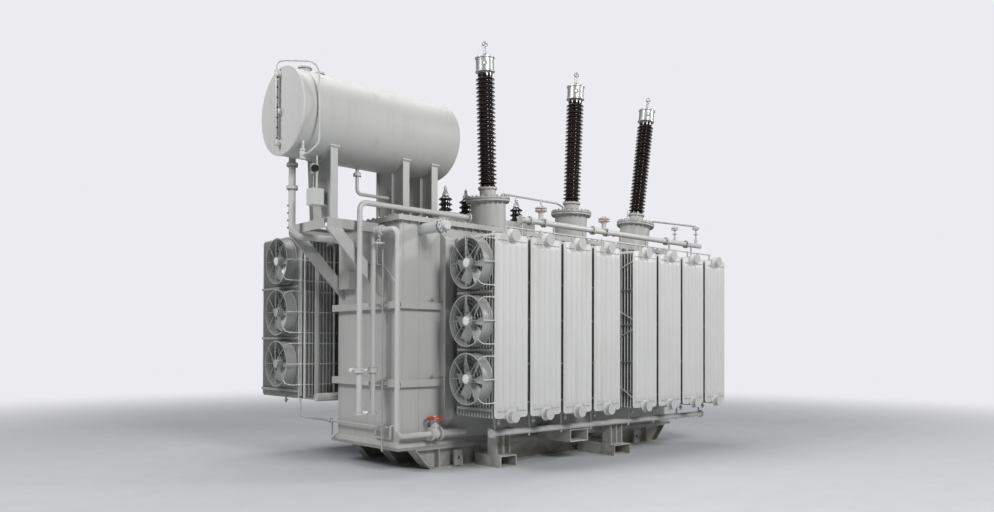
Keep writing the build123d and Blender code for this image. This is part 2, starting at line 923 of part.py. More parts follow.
def vent_pipe():
    """The thin pipe from the top of the gauge, round the shell and down its right side."""
    x = conservator_near
    top = conservator_height + gauge_high
    over = top + vent_rise
    down = x + vent_inset
    valve_z = conservator_height - conservator_radius - vent_valve_drop
    start = (x - gauge_depth / 2, gauge_y, top + seat_gap)
    run = pipe([
        start, (x - gauge_depth / 2, gauge_y, over), (x + vent_bend, vent_side, over),
        (down, vent_side, top - vent_head_drop), (down, vent_side, valve_z + vent_foot_rise),
        (down, vent_side + vent_foot_reach, valve_z - vent_foot_drop),
    ], vent_radius, vent_bend)
    valve_y = vent_side + vent_valve_inset
    valve_foot = (down, valve_y, valve_z - vent_valve_foot)
    valve = rod(valve_foot, (down, valve_y, conservator_height), vent_valve_radius)
    cut = barrel(conservator_near, conservator_far, seat_gap)
    return run + (valve - cut)


def breather():
    """The breather box on its shelf beside the near pedestal, with two thin tubes up to the shell."""
    column = -half_length + pedestal_places[0]
    shelf_z = cover_top + breather_shelf_height
    near = column - pedestal_depth / 2 - breather_length - 4
    shelf = block((near, column - pedestal_plate / 2), breather_ys, (shelf_z, shelf_z + bracket_web))
    top = shelf_z + bracket_web + breather_box_height
    case = block((near, near + breather_length), breather_ys, (shelf_z + bracket_web, top))
    y0, y1 = breather_ys
    middle = near + breather_length / 2
    right, left = y0 + breather_tube_inset, y1 - breather_tube_inset
    tubes = rod((middle, right, top - 1), (middle, right, conservator_height), breather_tube_radius)
    tubes += rod((middle, left, top - 1), (middle, left, conservator_height), breather_tube_radius)
    low_end, high_end = [(middle, left, top + height) for height in breather_body]
    body = rod(low_end, high_end, breather_body_radius)
    return shelf + case + tubes + body - barrel(conservator_near, conservator_far, seat_gap)


def gate_valve():
    """A gate valve body between two flanges, its bonnet and the stem that carries the handwheel."""
    half = gate_valve_length / 2
    x, y, z = gate_valve_place, third_riser_place[1], oil_pipe_height
    valve = rod((x - half, y, z), (x + half, y, z), oil_pipe_radius + gate_body_extra)
    for face in (x - half, x + half - flange_thickness):
        valve += rod((face, y, z), (face + flange_thickness, y, z), oil_pipe_radius + gate_flange_extra)
    valve += rod((x, y, z), (x, y, z + bonnet_height), bonnet_radius)
    valve += rod((x, y, z + bonnet_height - 12), (x, y, z + bonnet_height + 12), bonnet_flange_radius)
    valve += rod((x, y, z), (x, y, handwheel_height - 2 * handwheel_rim), yoke_radius)
    return valve + rod((x, y, z), (x, y, handwheel_height + 30), stem_radius)


def handwheel(centre, radius, rim, hub, stem):
    """Rim, spokes and hub of a valve wheel that turns on its stem."""
    x, y, z = centre
    far = radius - rim
    round_rim = Cylinder(radius, 2 * rim) - Cylinder(radius - 2 * rim, 2 * rim)
    round_rim = fillet(round_rim.edges().filter_by(GeomType.CIRCLE), rim * wheel_rim_round)
    wheel = Pos(x, y, z) * round_rim
    for number in range(wheel_spokes):
        angle = 2 * pi * number / wheel_spokes
        end = (x + far * cos(angle), y + far * sin(angle), z)
        wheel += rod((x, y, z), end, rim * wheel_spoke_share)
    wheel += rod((x, y, z - rim * wheel_hub_share), (x, y, z + rim * wheel_hub_share), hub)
    return wheel - rod((x, y, z - 3 * rim), (x, y, z + 3 * rim), stem + shaft_clearance)


def end_wall_pipe():
    """The second riser, over a crossover with a stop valve, and down the third riser to the gate valve."""
    x, y = -half_length + second_riser_place[0], second_riser_place[1]
    vx, vy = -half_length + third_riser_place[0], third_riser_place[1]
    foot = base_top + riser_foot
    run = pipe(
        [(x, y, foot), (x, y, crossover_height), (vx, vy, crossover_height), (vx, vy, oil_pipe_height),
         (gate_valve_place - gate_valve_length / 2, vy, oil_pipe_height)],
        riser_radius, 90,
    )
    run += rod((x, y, foot), (x, y, foot + flange_thickness), riser_radius + 20)
    cx, cy, cz = crossover_valve_centre()
    along = (vx - x, vy - y, 0)
    run += collar((cx, cy, cz), along, riser_radius + 14, 90)
    for share in (-0.11, 0.11):
        centre = (cx + along[0] * share, cy + along[1] * share, cz)
        run += collar(centre, along, riser_radius + 28, 16)
    run += rod((cx, cy, cz - 80), (cx, cy, cz), 24)
    return run + rod((cx, cy, cz - small_wheel_drop - 22), (cx, cy, cz), small_wheel_stem)


def crossover_valve_centre():
    x, y = -half_length + second_riser_place[0], second_riser_place[1]
    vx, vy = -half_length + third_riser_place[0], third_riser_place[1]
    share = crossover_valve_share
    return (x + (vx - x) * share, y + (vy - y) * share, crossover_height)


def first_riser():
    """The tall riser, with its run over the cover."""
    x, y = -half_length + riser_place[0], riser_place[1]
    foot = base_top + riser_foot
    end = -half_length + riser_run_end
    riser = pipe([(x, y, foot), (x, y, riser_top), (end, y, riser_top)], riser_radius, 90)
    riser += rod((x, y, foot), (x, y, foot + flange_thickness), riser_radius + 20)
    return riser + rod((end - flange_thickness, y, riser_top), (end, y, riser_top), riser_radius + 26)


def thin_pipes():
    """The conduit beside the risers and two small loops of pipe on the end wall."""
    wall = -half_length
    x, y = wall + conduit_place[0], conduit_place[1]
    conduit = rod((x, y, base_top + conduit_foot), (x, y, rim_bottom - conduit_head), conduit_radius)
    y, reach, high, deep = upper_loop
    upper = pipe([
        (wall, y, rim_bottom + high), (wall - reach, y, rim_bottom + high),
        (wall - reach, y, rim_bottom + deep), (wall, y, rim_bottom + deep),
    ], loop_radius, loop_bend)
    out = wall - lower_loop_reach
    y0, y1 = lower_loop_ys
    floor, z1, z0 = [base_top + height for height in lower_loop_heights]
    lower = pipe([
        (wall, y1, z1), (out, y1, z1), (out, y1, floor),
        (out, y0, floor), (out, y0, z0), (wall, y0, z0),
    ], loop_radius, lower_loop_bend)
    return [conduit, upper, lower]


def clamps():
    """Blocks that hold the pipes of the end wall to the two bands."""
    pieces = []
    wall = -half_length
    x1, y1 = wall + riser_place[0], riser_place[1]
    x3, y3 = wall + third_riser_place[0], third_riser_place[1]
    xc, yc = wall + conduit_place[0], conduit_place[1]
    for level in band_levels:
        zs = (level + clamp_lift, level + clamp_lift + clamp_height)
        face = y1 + riser_radius + seat_gap
        pieces.append(block((x1 - 20, -plate_x), (face, face + clamp_thickness), zs))
        near = x3 + riser_radius + seat_gap
        pieces.append(block((near, -plate_x), (y3 - 30, -plate_y + 40), zs))
        near = xc + conduit_radius + seat_gap
        pieces.append(block((near, -plate_x), (yc - 15, yc + 15), zs))
    return group(pieces)


def left_drain_pipe():
    """The thin drain from under the left bank, along the end wall, with a short branch down."""
    wall = -half_length
    x = left_bank_start + 12
    y = left_bank_face + panel_thickness / 2
    z = base_top + drain_run_height
    turn_x, turn_y = wall + drain_turn[0], half_width + drain_turn[1]
    run = pipe([
        (x, y, left_bank_bottom - seat_gap), (x, y, base_top + drain_drop_height), (turn_x, turn_y, z),
        (turn_x, drain_end, z), (wall, drain_end, z),
    ], drain_pipe_radius, drain_bend)
    branch_y = half_width + drain_pipe_radius + 1
    run += rod((turn_x, branch_y, z), (turn_x, branch_y, base_top + drain_branch_foot), drain_pipe_radius)
    return run + collar((turn_x, turn_y - 60, z), (0, 1, 0), 2 * drain_pipe_radius, drain_bend)


def side_stub():
    """The large nozzle under the rim on the right wall, flanged, with a round valve head."""
    x, z = -half_length + side_stub_place, rim_bottom - side_stub_drop
    end = -half_width - side_stub_reach
    first = end + side_flange_gap
    stub = rod((x, -half_width, z), (x, first, z), side_stub_radius)
    for face in (first + side_flange_gap, first):
        stub += rod((x, face, z), (x, face + flange_thickness, z), side_stub_radius + side_flange_extra)
    return stub + rod((x, end, z), (x, first, z), side_stub_radius - side_head_inset)


def tank_fittings():
    """The instrument box on the end wall and the blind drain flange at the foot of the right wall."""
    depth, y0, y1 = instrument_box
    bottom = band_levels[-1] + band_height + instrument_lift
    box = block((-half_length - depth, -half_length), (y0, y1), (bottom, bottom + instrument_height))
    edge = -skid_beam_pitch - skid_flange_width / 2
    end = edge - drain_stub_reach
    web_face = -skid_beam_pitch - skid_web / 2
    x, z = drain_stub_place, skid_height - drain_stub_drop
    drain = rod((x, web_face, z), (x, end, z), drain_stub_radius)
    drain += rod((x, end, z), (x, end + flange_thickness, z), drain_flange_radius)
    return group([box, drain])


def gas_pipe():
    """The collecting pipe over the right bank, with its flanges, valve columns and stubs to the headers."""
    y = -half_width - gas_pipe_stand_out
    z = cover_top + gas_pipe_lift
    first, last = bank_places(gas_pipe_ends)
    run = rod((first, y, z), (last, y, z), gas_pipe_radius)
    run += rod((first, y, z), (first + flange_thickness, y, z), gas_pipe_radius + 16)
    for x in bank_places(gas_pipe_flanges):
        run += collar((x, y, z), (1, 0, 0), gas_pipe_radius + 22, pipe_flange_thickness)
    for x, height in zip(bank_places(gas_columns), gas_column_heights):
        run += rod((x, y, z), (x, y, z + height), column_radius)
        run += collar((x, y, z + height * column_flange_share), (0, 0, 1), column_radius + 22, 14)
        run += rod((x, y, z), (x, y, z + height * column_foot_share), column_radius + 9)
    header_top = header_levels(right_bank_bottom)[1] + header_radius
    for start in right_starts[1:]:
        x = start + panel_width / 2
        run += rod((x, y, header_top + seat_gap), (x, y, z), stub_pipe_radius)
    return run


def bleed_pipe():
    """A thin pipe along the tops of the right headers, with a stub into each."""
    y = -half_width - bleed_pipe_stand_out
    header_top = header_levels(right_bank_bottom)[1] + header_radius
    z = header_top + 68
    first = right_starts[0] + panel_width / 2
    last = right_starts[-1] + panel_width / 2
    run = rod((first - 20, y, z), (last + 30, y, z), bleed_pipe_radius)
    for start in right_starts:
        x = start + panel_width / 2
        run += rod((x, y, header_top + seat_gap), (x, y, z + 16), stub_pipe_radius)
    return run


def bottom_pipe():
    """The drain pipe under the right bank, with a stub and a small cock under each header."""
    y = -half_width - bottom_pipe_stand_out
    header_low = header_levels(right_bank_bottom)[0] - header_radius
    z = right_bank_bottom - bottom_pipe_drop + header_inset
    first, last = bank_places(bottom_pipe_ends)
    run = rod((first, y, z), (last, y, z), bottom_pipe_radius)
    for x in (first, last - flange_thickness):
        run += rod((x, y, z), (x + flange_thickness, y, z), bottom_pipe_radius + 16)
    for start in right_starts:
        x = start + panel_width / 2
        run += rod((x, y, z), (x, y, header_low - seat_gap), stub_pipe_radius)
        run += rod((x, y, z - bottom_pipe_radius - 26), (x, y, z), stub_pipe_radius)
    return run


def on_turret(number, x, y):
    """A point just above the flange of a turret, offset from its axis."""
    point = tilted_plane(number) * Pos(x, y, turret_length + turret_flange + vent_foot_gap)
    return tuple(point.position)


def turret_vents():
    """Thin vent pipes: from the first turret to the second, and from the third to the gas pipe."""
    feet = [on_turret(number, *foot) for number, foot in enumerate(turret_vent_feet)]
    (x0, y0, z0), (x1, y1, z1), (x2, y2, z2) = feet
    top = z0 + turret_vent_rise[0]
    step = x1 - turret_vent_step
    first = pipe([(x0, y0, z0), (x0, y0, top), (step, y0, top), (x1, y1, top), (x1, y1, z1)],
                 turret_vent_radius, turret_vent_bend)
    column = bank_places(gas_columns)[-1]
    column_top = cover_top + gas_pipe_lift + gas_column_heights[-1]
    end = (column, -half_width - gas_pipe_stand_out, column_top + turret_vent_radius + 1)
    corner = (x2, y2, z2 + turret_vent_rise[1])
    second = pipe([(x2, y2, z2), corner, end], turret_vent_radius, turret_vent_bend)
    return group([first, second])


os.makedirs("parts", exist_ok=True)

write("skid_beams", skid_beams())
write("skid_cross_members", cross_members())
write("base_plate", block((-plate_x, plate_x), (-plate_y, plate_y), (skid_height, base_top)))
write("outriggers", outrigger_boxes())
write("jacking_beams", jacking_beams())
write("gussets_and_lugs", gussets())

# Tank
tank = tank_body()
write("tank", tank)
write("tank_bands", group([frame_ring((level, level + band_height)) for level in band_levels]))
write("tank_rim", frame_ring((rim_bottom, tank_top)))
write("tank_cover", block((-plate_x, plate_x), (-plate_y, plate_y), (tank_top, cover_top)))
stiffener_places = tank_places(stiffener_offsets)
right_stiffeners = [stiffener(place, -1, stiffener_depth) for place in stiffener_places]
left_stiffeners = [stiffener(place, 1, stiffener_depth_left) for place in stiffener_places]
write("tank_stiffeners", group(right_stiffeners + left_stiffeners))
write("tank_fittings", tank_fittings())
write("side_stub", side_stub())

# Radiators
right_starts = radiator_places(right_bank_start)
left_starts = radiator_places(left_bank_start)
banks = (
    ("right", right_starts, right_bank_face, right_bank_bottom, right_panels),
    ("left", left_starts, left_bank_face, left_bank_bottom, left_panels),
)
for side, starts, face_y, bottom, count in banks:
    write(f"{side}_radiator_faces", group([face_panel(start, face_y, bottom) for start in starts]))
    panels = []
    for start in starts:
        panels += inner_panels(start, face_y, bottom, count)
    write(f"{side}_radiator_panels", group(panels))
headers = []
for start in right_starts:
    for z in header_levels(right_bank_bottom):
        headers.append(right_header(start + panel_width / 2, z))
write("right_headers", group(headers))
write("left_headers", group(left_header_work()))

# Fans
levels = ("bottom", "middle", "top")
bank_middle = right_bank_bottom + panel_height / 2
fan_rows = (
    ("right", right_bank_start, right_bank_face, fan_right_inset, bank_middle + fan_raise, right_panels),
    ("left", left_bank_start, left_bank_face, fan_left_inset, bank_middle + left_bank_raise + fan_raise,
     left_panels),
)
tie_bars = []
for side, bank_start, face_y, inset, middle, count in fan_rows:
    shrouds = []
    for number, level in enumerate(levels):
        z = middle + (number - 1) * fan_pitch
        centre = (bank_start - fan_depth - seat_gap, face_y + inset, z)
        shrouds.append(fan_shroud(centre))
        write(f"{side}_fan_rotor_{level}", fan_rotor(centre))
    write(f"{side}_fan_shrouds", group(shrouds))
    between = [middle - fan_pitch / 2, middle + fan_pitch / 2, middle - 3 * fan_pitch / 2 - tie_width / 2]
    tie_bars += ties(bank_start, face_y, count, right_bank_bottom, between)
write("radiator_ties", group(tie_bars))

# High-voltage and low-voltage bushings
turret_places = tank_places(turret_offsets)
phases = range(len(turret_places))
write("hv_turrets", group([turret(number) for number in phases]))
write("hv_porcelains", group([porcelain(number) for number in phases]))
write("hv_caps", group([bushing_cap(number) for number in phases]))
x0, x1, y0, y1 = low_pocket
write("lv_pocket", block((x0, x1), (y0, y1), (cover_top, cover_top + low_pocket_height)))
write("lv_bushings", group([low_bushing(place) for place in low_bushing_places]))
write("lv_terminals", group([low_terminal(place) for place in low_bushing_places]))

# Conservator and what carries it
write("conservator_shell", conservator_shell())
write("conservator_near_end", barrel(conservator_near, conservator_near + end_plate, end_rim))
write("conservator_far_end", conservator_far_end())
write("conservator_pedestals", group([pedestal(number) for number in range(len(pedestal_places))]))
bracket_sides = ((bracket_right_y, 1), (bracket_left_y, -1))
write("brackets", group([bracket_beam(y, facing) for y, facing in bracket_sides]))
write("bracket_struts", group([strut(y, facing) for y, facing in bracket_sides] + [wall_brace()]))
write("bracket_seat", bracket_seat())
write("level_gauge", level_gauge())
write("vent_pipe", vent_pipe())
write("breather", breather())
write("conservator_pipes", conservator_pipes())

# Pipework
write("breather_riser", first_riser())
write("end_wall_pipe", end_wall_pipe())
wheel_centre = crossover_valve_centre()
write("small_handwheel", handwheel(
    (wheel_centre[0], wheel_centre[1], wheel_centre[2] - small_wheel_drop),
    small_wheel_radius, small_wheel_rim, small_wheel_hub, small_wheel_stem))
write("thin_pipes", group(thin_pipes() + [left_drain_pipe()]))
write("pipe_clamps", clamps())
write("gate_valve", gate_valve())
write("red_handwheel", handwheel(
    (gate_valve_place, third_riser_place[1], handwheel_height),
    handwheel_radius, handwheel_rim, handwheel_hub, stem_radius))
oil_start = gate_valve_place + gate_valve_length / 2
oil_y = third_riser_place[1]
oil_ends = [(x, oil_y, oil_pipe_height) for x in (oil_start, oil_pipe_end)]
write("oil_pipe", rod(*oil_ends, oil_pipe_radius))
write("gas_pipe", gas_pipe())
write("bleed_pipe", bleed_pipe())
write("bottom_pipe", bottom_pipe())
write("turret_vents", turret_vents())
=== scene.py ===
# %% [markdown]
# # A power transformer
# This lesson dresses the measured model of an oil-filled power transformer. The model is loaded
# first and stays where it is. Everything after that adds finishes, and the small pieces that the
# model leaves out: pressed radiator sheets, fan guards, glazed bushings, bolts, levers and welds.

import json
import math

import bmesh
import bpy
from mathutils import Matrix, Vector


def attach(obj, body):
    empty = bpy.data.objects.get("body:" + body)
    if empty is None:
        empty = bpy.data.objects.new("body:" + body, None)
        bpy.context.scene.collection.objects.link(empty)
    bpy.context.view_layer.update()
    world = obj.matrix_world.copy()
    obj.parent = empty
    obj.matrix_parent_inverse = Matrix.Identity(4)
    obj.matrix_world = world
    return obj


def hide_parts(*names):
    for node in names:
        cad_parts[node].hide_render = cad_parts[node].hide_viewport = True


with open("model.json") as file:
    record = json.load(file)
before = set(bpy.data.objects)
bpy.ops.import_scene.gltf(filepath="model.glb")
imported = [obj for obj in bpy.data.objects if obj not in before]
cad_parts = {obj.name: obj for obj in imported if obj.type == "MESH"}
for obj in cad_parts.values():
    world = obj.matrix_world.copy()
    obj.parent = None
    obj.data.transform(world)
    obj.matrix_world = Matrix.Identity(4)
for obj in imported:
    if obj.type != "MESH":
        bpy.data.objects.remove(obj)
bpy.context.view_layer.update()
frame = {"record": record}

# %% [markdown]
# ## The camera
# The view is from eye height near the corner of the tank, and looks almost level. The object sits
# left of the middle and a little low in the frame, which the lens shift gives without tilting the
# uprights.

# %% Set up the camera
EYE = Vector((-7.948, -8.132, 1.468))
YAW = 0.8547
PITCH = 0.012
ROLL = -0.0034
SENSOR_WIDTH = 36.0
IMAGE_WIDTH = 994.0
FOCAL_PIXELS = 788.7

camera_data = bpy.data.cameras.new("studio_camera")
camera_data.sensor_width = SENSOR_WIDTH
camera_data.lens = FOCAL_PIXELS * SENSOR_WIDTH / IMAGE_WIDTH
camera_data.shift_x = 0.0242
camera_data.shift_y = 0.081
camera_data.clip_end = 400
camera = bpy.data.objects.new("studio_camera", camera_data)
camera.location = EYE
camera.rotation_euler = (math.pi / 2 + PITCH, ROLL, YAW - math.pi / 2)
bpy.context.scene.collection.objects.link(camera)
bpy.context.scene.camera = camera
bpy.context.scene.view_settings.view_transform = "Standard"
print("lens", round(camera_data.lens, 2), "mm")

# %% [markdown]
# ## A small language for materials
# A material in Blender is a graph of nodes. Clicking graphs together is fine by hand, but in a
# script it hides the idea. Here one class wraps a socket, so that sums of patterns are written as
# sums, and one class makes any other node from its settings and its inputs.

# %% Write shader sums as Python expressions


class Pattern:
    """A socket of a material. Adding, subtracting or multiplying patterns adds the Math nodes."""

    def __init__(self, finish, socket):
        self.finish = finish
        self.socket = socket

    def math(self, operation, first, second):
        return self.finish.node("ShaderNodeMath", {"operation": operation}, {0: first, 1: second})

    def __add__(self, other):
        return self.math("ADD", self, other)

    def __sub__(self, other):
        return self.math("SUBTRACT", self, other)

    def __rsub__(self, other):
        return self.math("SUBTRACT", other, self)

    def __mul__(self, other):
        return self.math("MULTIPLY", self, other)

    __radd__ = __add__
    __rmul__ = __mul__


class Finish:
    """A material with one Principled shader, and short ways to the patterns that feed it."""

    def __init__(self, name, roughness=0.5, metallic=0.0, coat=0.0):
        self.material = bpy.data.materials.new(name)
        self.material.use_nodes = True
        self.tree = self.material.node_tree
        self.shader = self.tree.nodes["Principled BSDF"]
        self.shader.inputs["Roughness"].default_value = roughness
        self.shader.inputs["Metallic"].default_value = metallic
        self.shader.inputs["Coat Weight"].default_value = coat
        self.shader.inputs["Coat Roughness"].default_value = 0.08

    def node(self, kind, settings, inputs, output=0):
        made = self.tree.nodes.new(kind)
        for name, value in settings.items():
            if name == "stops":
                for stop, (place, shade) in zip(made.color_ramp.elements, value):
                    stop.position = place
                    stop.color = (shade, shade, shade, 1)
            else:
                setattr(made, name, value)
        for key, value in inputs.items():
            if isinstance(value, Pattern):
                self.tree.links.new(value.socket, made.inputs[key])
            else:
                made.inputs[key].default_value = value
        return Pattern(self, made.outputs[output])

    def place(self, stretch=(1, 1, 1)):
        """Where a point is on the object, in metres, stretched for long or flat patterns."""
        spot = self.node("ShaderNodeTexCoord", {}, {}, "Object")
        return self.node("ShaderNodeMapping", {}, {"Vector": spot, "Scale": stretch})

    def noise(self, scale, detail=3.0, stretch=(1, 1, 1)):
        inputs = {"Vector": self.place(stretch), "Scale": scale, "Detail": detail}
        return self.node("ShaderNodeTexNoise", {}, inputs)

    def ramp(self, pattern, low, high):
        """0 below the low value of a pattern, 1 above the high one."""
        stops = [(low, 0.0), (high, 1.0)]
        return self.node("ShaderNodeValToRGB", {"stops": stops}, {0: pattern})

    def height(self, low, high):
        """0 at the low height above the ground, 1 at the high one."""
        split = self.node("ShaderNodeSeparateXYZ", {}, {0: self.place()}, "Z")
        inputs = {"Value": split, "From Min": low, "From Max": high}
        return self.node("ShaderNodeMapRange", {}, inputs)

    def facing_up(self, low, high):
        """0 on walls and undersides, 1 on surfaces that look at the sky."""
        normal = self.node("ShaderNodeNewGeometry", {}, {}, "Normal")
        split = self.node("ShaderNodeSeparateXYZ", {}, {0: normal}, "Z")
        inputs = {"Value": split, "From Min": low, "From Max": high}
        return self.node("ShaderNodeMapRange", {}, inputs)

    def blend(self, factor, first, second):
        """Mix two colours by a pattern."""
        inputs = {0: factor, 6: first, 7: second}
        return self.node("ShaderNodeMix", {"data_type": "RGBA"}, inputs, 2)

    def feed(self, socket, pattern):
        self.tree.links.new(pattern.socket, self.shader.inputs[socket])

    def bump(self, height, strength, distance):
        inputs = {"Height": height, "Strength": strength, "Distance": distance}
        self.feed("Normal", self.node("ShaderNodeBump", {}, inputs))


def shade(red, green, blue):
    return (red, green, blue, 1.0)


# %% [markdown]
# ## Enamel
# Nearly all of the machine is steel under light grey enamel. Real enamel isn't one grey: the spray
# leaves a fine orange peel, big plates are a little wavy, rain draws pale and dark streaks down the
# walls, dust settles on whatever faces the sky and mud splashes the lowest part. Each of these is
# one pattern here, mixed in weakly, so that the paint still reads as clean new grey.

# %% Mix the enamels


def enamel(name, colour, gloss=0.42, dust=0.35, splash=0.5, waves=0.4):
    finish = Finish(name, roughness=gloss)
    cloud = finish.noise(1.3, 4.0)
    fine = finish.noise(38.0, 3.0)
    streak = finish.noise(2.2, 4.0, (4.0, 4.0, 0.22))
    marks = finish.ramp(streak, 0.52, 0.74)
    darker = shade(*[value * 0.76 for value in colour])
    dirt = shade(colour[0] * 0.62, colour[1] * 0.58, colour[2] * 0.50)
    dusty = shade(colour[0] * 1.02, colour[1] * 0.99, colour[2] * 0.92)
    tone = finish.blend(finish.ramp(cloud, 0.35, 0.75) * 0.30 + fine * 0.10, shade(*colour), darker)
    tone = finish.blend(marks * 0.22, tone, dirt)
    mud = (1 - finish.height(0.02, 0.55)) * finish.ramp(finish.noise(9.0, 5.0), 0.35, 0.62)
    tone = finish.blend(mud * splash, tone, dirt)
    settled = finish.facing_up(0.5, 0.95) * finish.ramp(finish.noise(5.0, 4.0), 0.3, 0.7)
    tone = finish.blend(settled * dust, tone, dusty)
    finish.feed("Base Color", tone)
    finish.feed("Roughness", gloss + 0.10 * cloud + marks * 0.16 + settled * 0.2 + mud * 0.2 - 0.05)
    peel = finish.noise(260.0, 2.0)
    finish.bump(peel * 0.16 + finish.noise(3.0, 2.0) * waves, 0.35, 0.004)
    return finish.material


grey_enamel = enamel("grey_enamel", (0.462, 0.465, 0.449))
radiator_enamel = enamel("radiator_enamel", (0.552, 0.554, 0.541), gloss=0.46, splash=0.15, waves=0.25)
skid_enamel = enamel("skid_enamel", (0.430, 0.433, 0.417), gloss=0.5, dust=0.6, splash=0.9)
pipe_enamel = enamel("pipe_enamel", (0.520, 0.523, 0.508), gloss=0.36, waves=0.1)
valve_paint = enamel("valve_paint", (0.60, 0.61, 0.60), gloss=0.30, dust=0.2, waves=0.1)
# Dark enamel: the fan drums' own darker paint, and painted shade on the base plate, the radiator tie rods,
# the sheet dimples and the gauge channel, which sit in shade.
dark_drum_and_shade_enamel = enamel("dark_drum_and_shade_enamel", (0.300, 0.303, 0.295), gloss=0.34, waves=0.1)
shaded_enamel = enamel("shaded_enamel", (0.400, 0.404, 0.390), gloss=0.48)

# %% [markdown]
# ## Porcelain, bare metal, paint and glass
# The bushings are porcelain under a dark brown glaze. The glaze pools into darker and redder
# patches and has a mirror-like coat. The caps and terminals are cast and turned aluminium, bolts
# are zinc plated and differ a little from one to the next, and the small red parts are glossy
# paint that has worn on its edges.

# %% Mix the other finishes


def glaze():
    finish = Finish("brown_porcelain", roughness=0.16, coat=0.5)
    pools = finish.ramp(finish.noise(7.0, 4.0), 0.35, 0.7)
    fine = finish.noise(90.0, 2.0)
    tone = finish.blend(pools, shade(0.017, 0.010, 0.009), shade(0.009, 0.006, 0.006))
    dust = finish.facing_up(0.2, 0.9) * finish.ramp(finish.noise(16.0, 4.0), 0.4, 0.8)
    tone = finish.blend(dust * 0.22, tone, shade(0.16, 0.145, 0.13))
    finish.feed("Base Color", tone)
    finish.feed("Roughness", 0.12 + fine * 0.06 + dust * 0.3)
    finish.bump(finish.noise(24.0, 2.0), 0.10, 0.002)
    return finish.material


def metal(name, colour, roughness, metallic, grain, cloud_scale=6.0):
    finish = Finish(name, roughness=roughness, metallic=metallic)
    cloud = finish.noise(cloud_scale, 4.0)
    fine = finish.noise(150.0, 3.0)
    darker = shade(*[value * 0.68 for value in colour])
    tone = finish.blend(finish.ramp(cloud, 0.35, 0.8) * 0.6 + fine * 0.15, shade(*colour), darker)
    finish.feed("Base Color", tone)
    finish.feed("Roughness", roughness + cloud * 0.16 + fine * 0.08 - 0.10)
    finish.bump(fine, grain, 0.001)
    return finish.material


def gloss_paint(name, colour, worn):
    finish = Finish(name, roughness=0.26, coat=0.3)
    cloud = finish.noise(26.0, 4.0)
    chips = finish.ramp(finish.noise(120.0, 4.0), 0.66, 0.72)
    tone = finish.blend(cloud * 0.4, shade(*colour), shade(*[value * 0.6 for value in colour]))
    tone = finish.blend(chips * 0.5, tone, shade(*worn))
    finish.feed("Base Color", tone)
    finish.feed("Roughness", 0.24 + cloud * 0.1 + chips * 0.3)
    finish.bump(finish.noise(220.0, 2.0) - chips, 0.12, 0.001)
    return finish.material


brown_porcelain = glaze()
silver_metal = metal("silver_metal", (0.43, 0.435, 0.43), 0.36, 0.55, 0.10)
zinc_bolts = metal("zinc_bolts", (0.30, 0.30, 0.29), 0.40, 0.6, 0.14, 30.0)
fan_metal = metal("fan_metal", (0.46, 0.47, 0.465), 0.40, 0.35, 0.08)
white_cap = enamel("white_cap", (0.74, 0.75, 0.74), gloss=0.3, waves=0.05)
red_paint = gloss_paint("red_paint", (0.60, 0.040, 0.028), (0.30, 0.25, 0.22))
dark_rubber = gloss_paint("dark_rubber", (0.022, 0.022, 0.022), (0.06, 0.06, 0.055))

SLOT_FINISHES = {
    "grey_enamel": grey_enamel,
    "radiator_enamel": radiator_enamel,
    "brown_porcelain": brown_porcelain,
    "silver_metal": silver_metal,
    "red_paint": red_paint,
    "fan_metal": fan_metal,
    "valve_paint": valve_paint,
}
NODE_FINISHES = {
    "skid_beams": skid_enamel,
    "skid_cross_members": skid_enamel,
    "outriggers": skid_enamel,
    "gussets_and_lugs": skid_enamel,
    # Painted shade: the base plate under the tank takes the dark enamel.
    "base_plate": dark_drum_and_shade_enamel,
    # Painted light: the near end of the conservator takes the lighter radiator enamel, so that it reads
    # brighter than the shell.
    "conservator_near_end": radiator_enamel,
    "end_wall_pipe": pipe_enamel,
    "breather_riser": pipe_enamel,
    "gas_pipe": pipe_enamel,
    "bleed_pipe": pipe_enamel,
    "bottom_pipe": pipe_enamel,
    "conservator_pipes": pipe_enamel,
    "brackets": shaded_enamel,
    # Painted shade: the radiator ties in the gaps take the dark enamel.
    "radiator_ties": dark_drum_and_shade_enamel,
    "breather": valve_paint,
}
slots = {part["node"]: part["material_slot"] for part in frame["record"]["subparts"]}
for node_name, slot in slots.items():
    node = bpy.data.objects[node_name]
    node.data.materials.clear()
    node.data.materials.append(NODE_FINISHES.get(node_name, SLOT_FINISHES[slot]))
print("finishes", len(bpy.data.materials))

# %% [markdown]
# ## Floor and studio light
# A transformer of this size is shown against a plain pale backdrop. Close to the object the floor
# is a real surface that takes its shadow. Further out it fades into the colour of the backdrop, but
# only where the camera looks at it, so it never brightens the paint. Large area lamps give the soft
# light: one high in front, a smaller one from the right that draws out the flutes, one from the end
# of the tank and a broad one from above.

# %% Lay the floor
BACKDROP = shade(0.84, 0.84, 0.87)


def clear_selection():
    """Leave edit mode and deselect everything, so that the next operator acts on new work only."""
    if bpy.context.object and bpy.context.object.mode != "OBJECT":
        bpy.ops.object.mode_set(mode="OBJECT")
    bpy.ops.object.select_all(action="DESELECT")


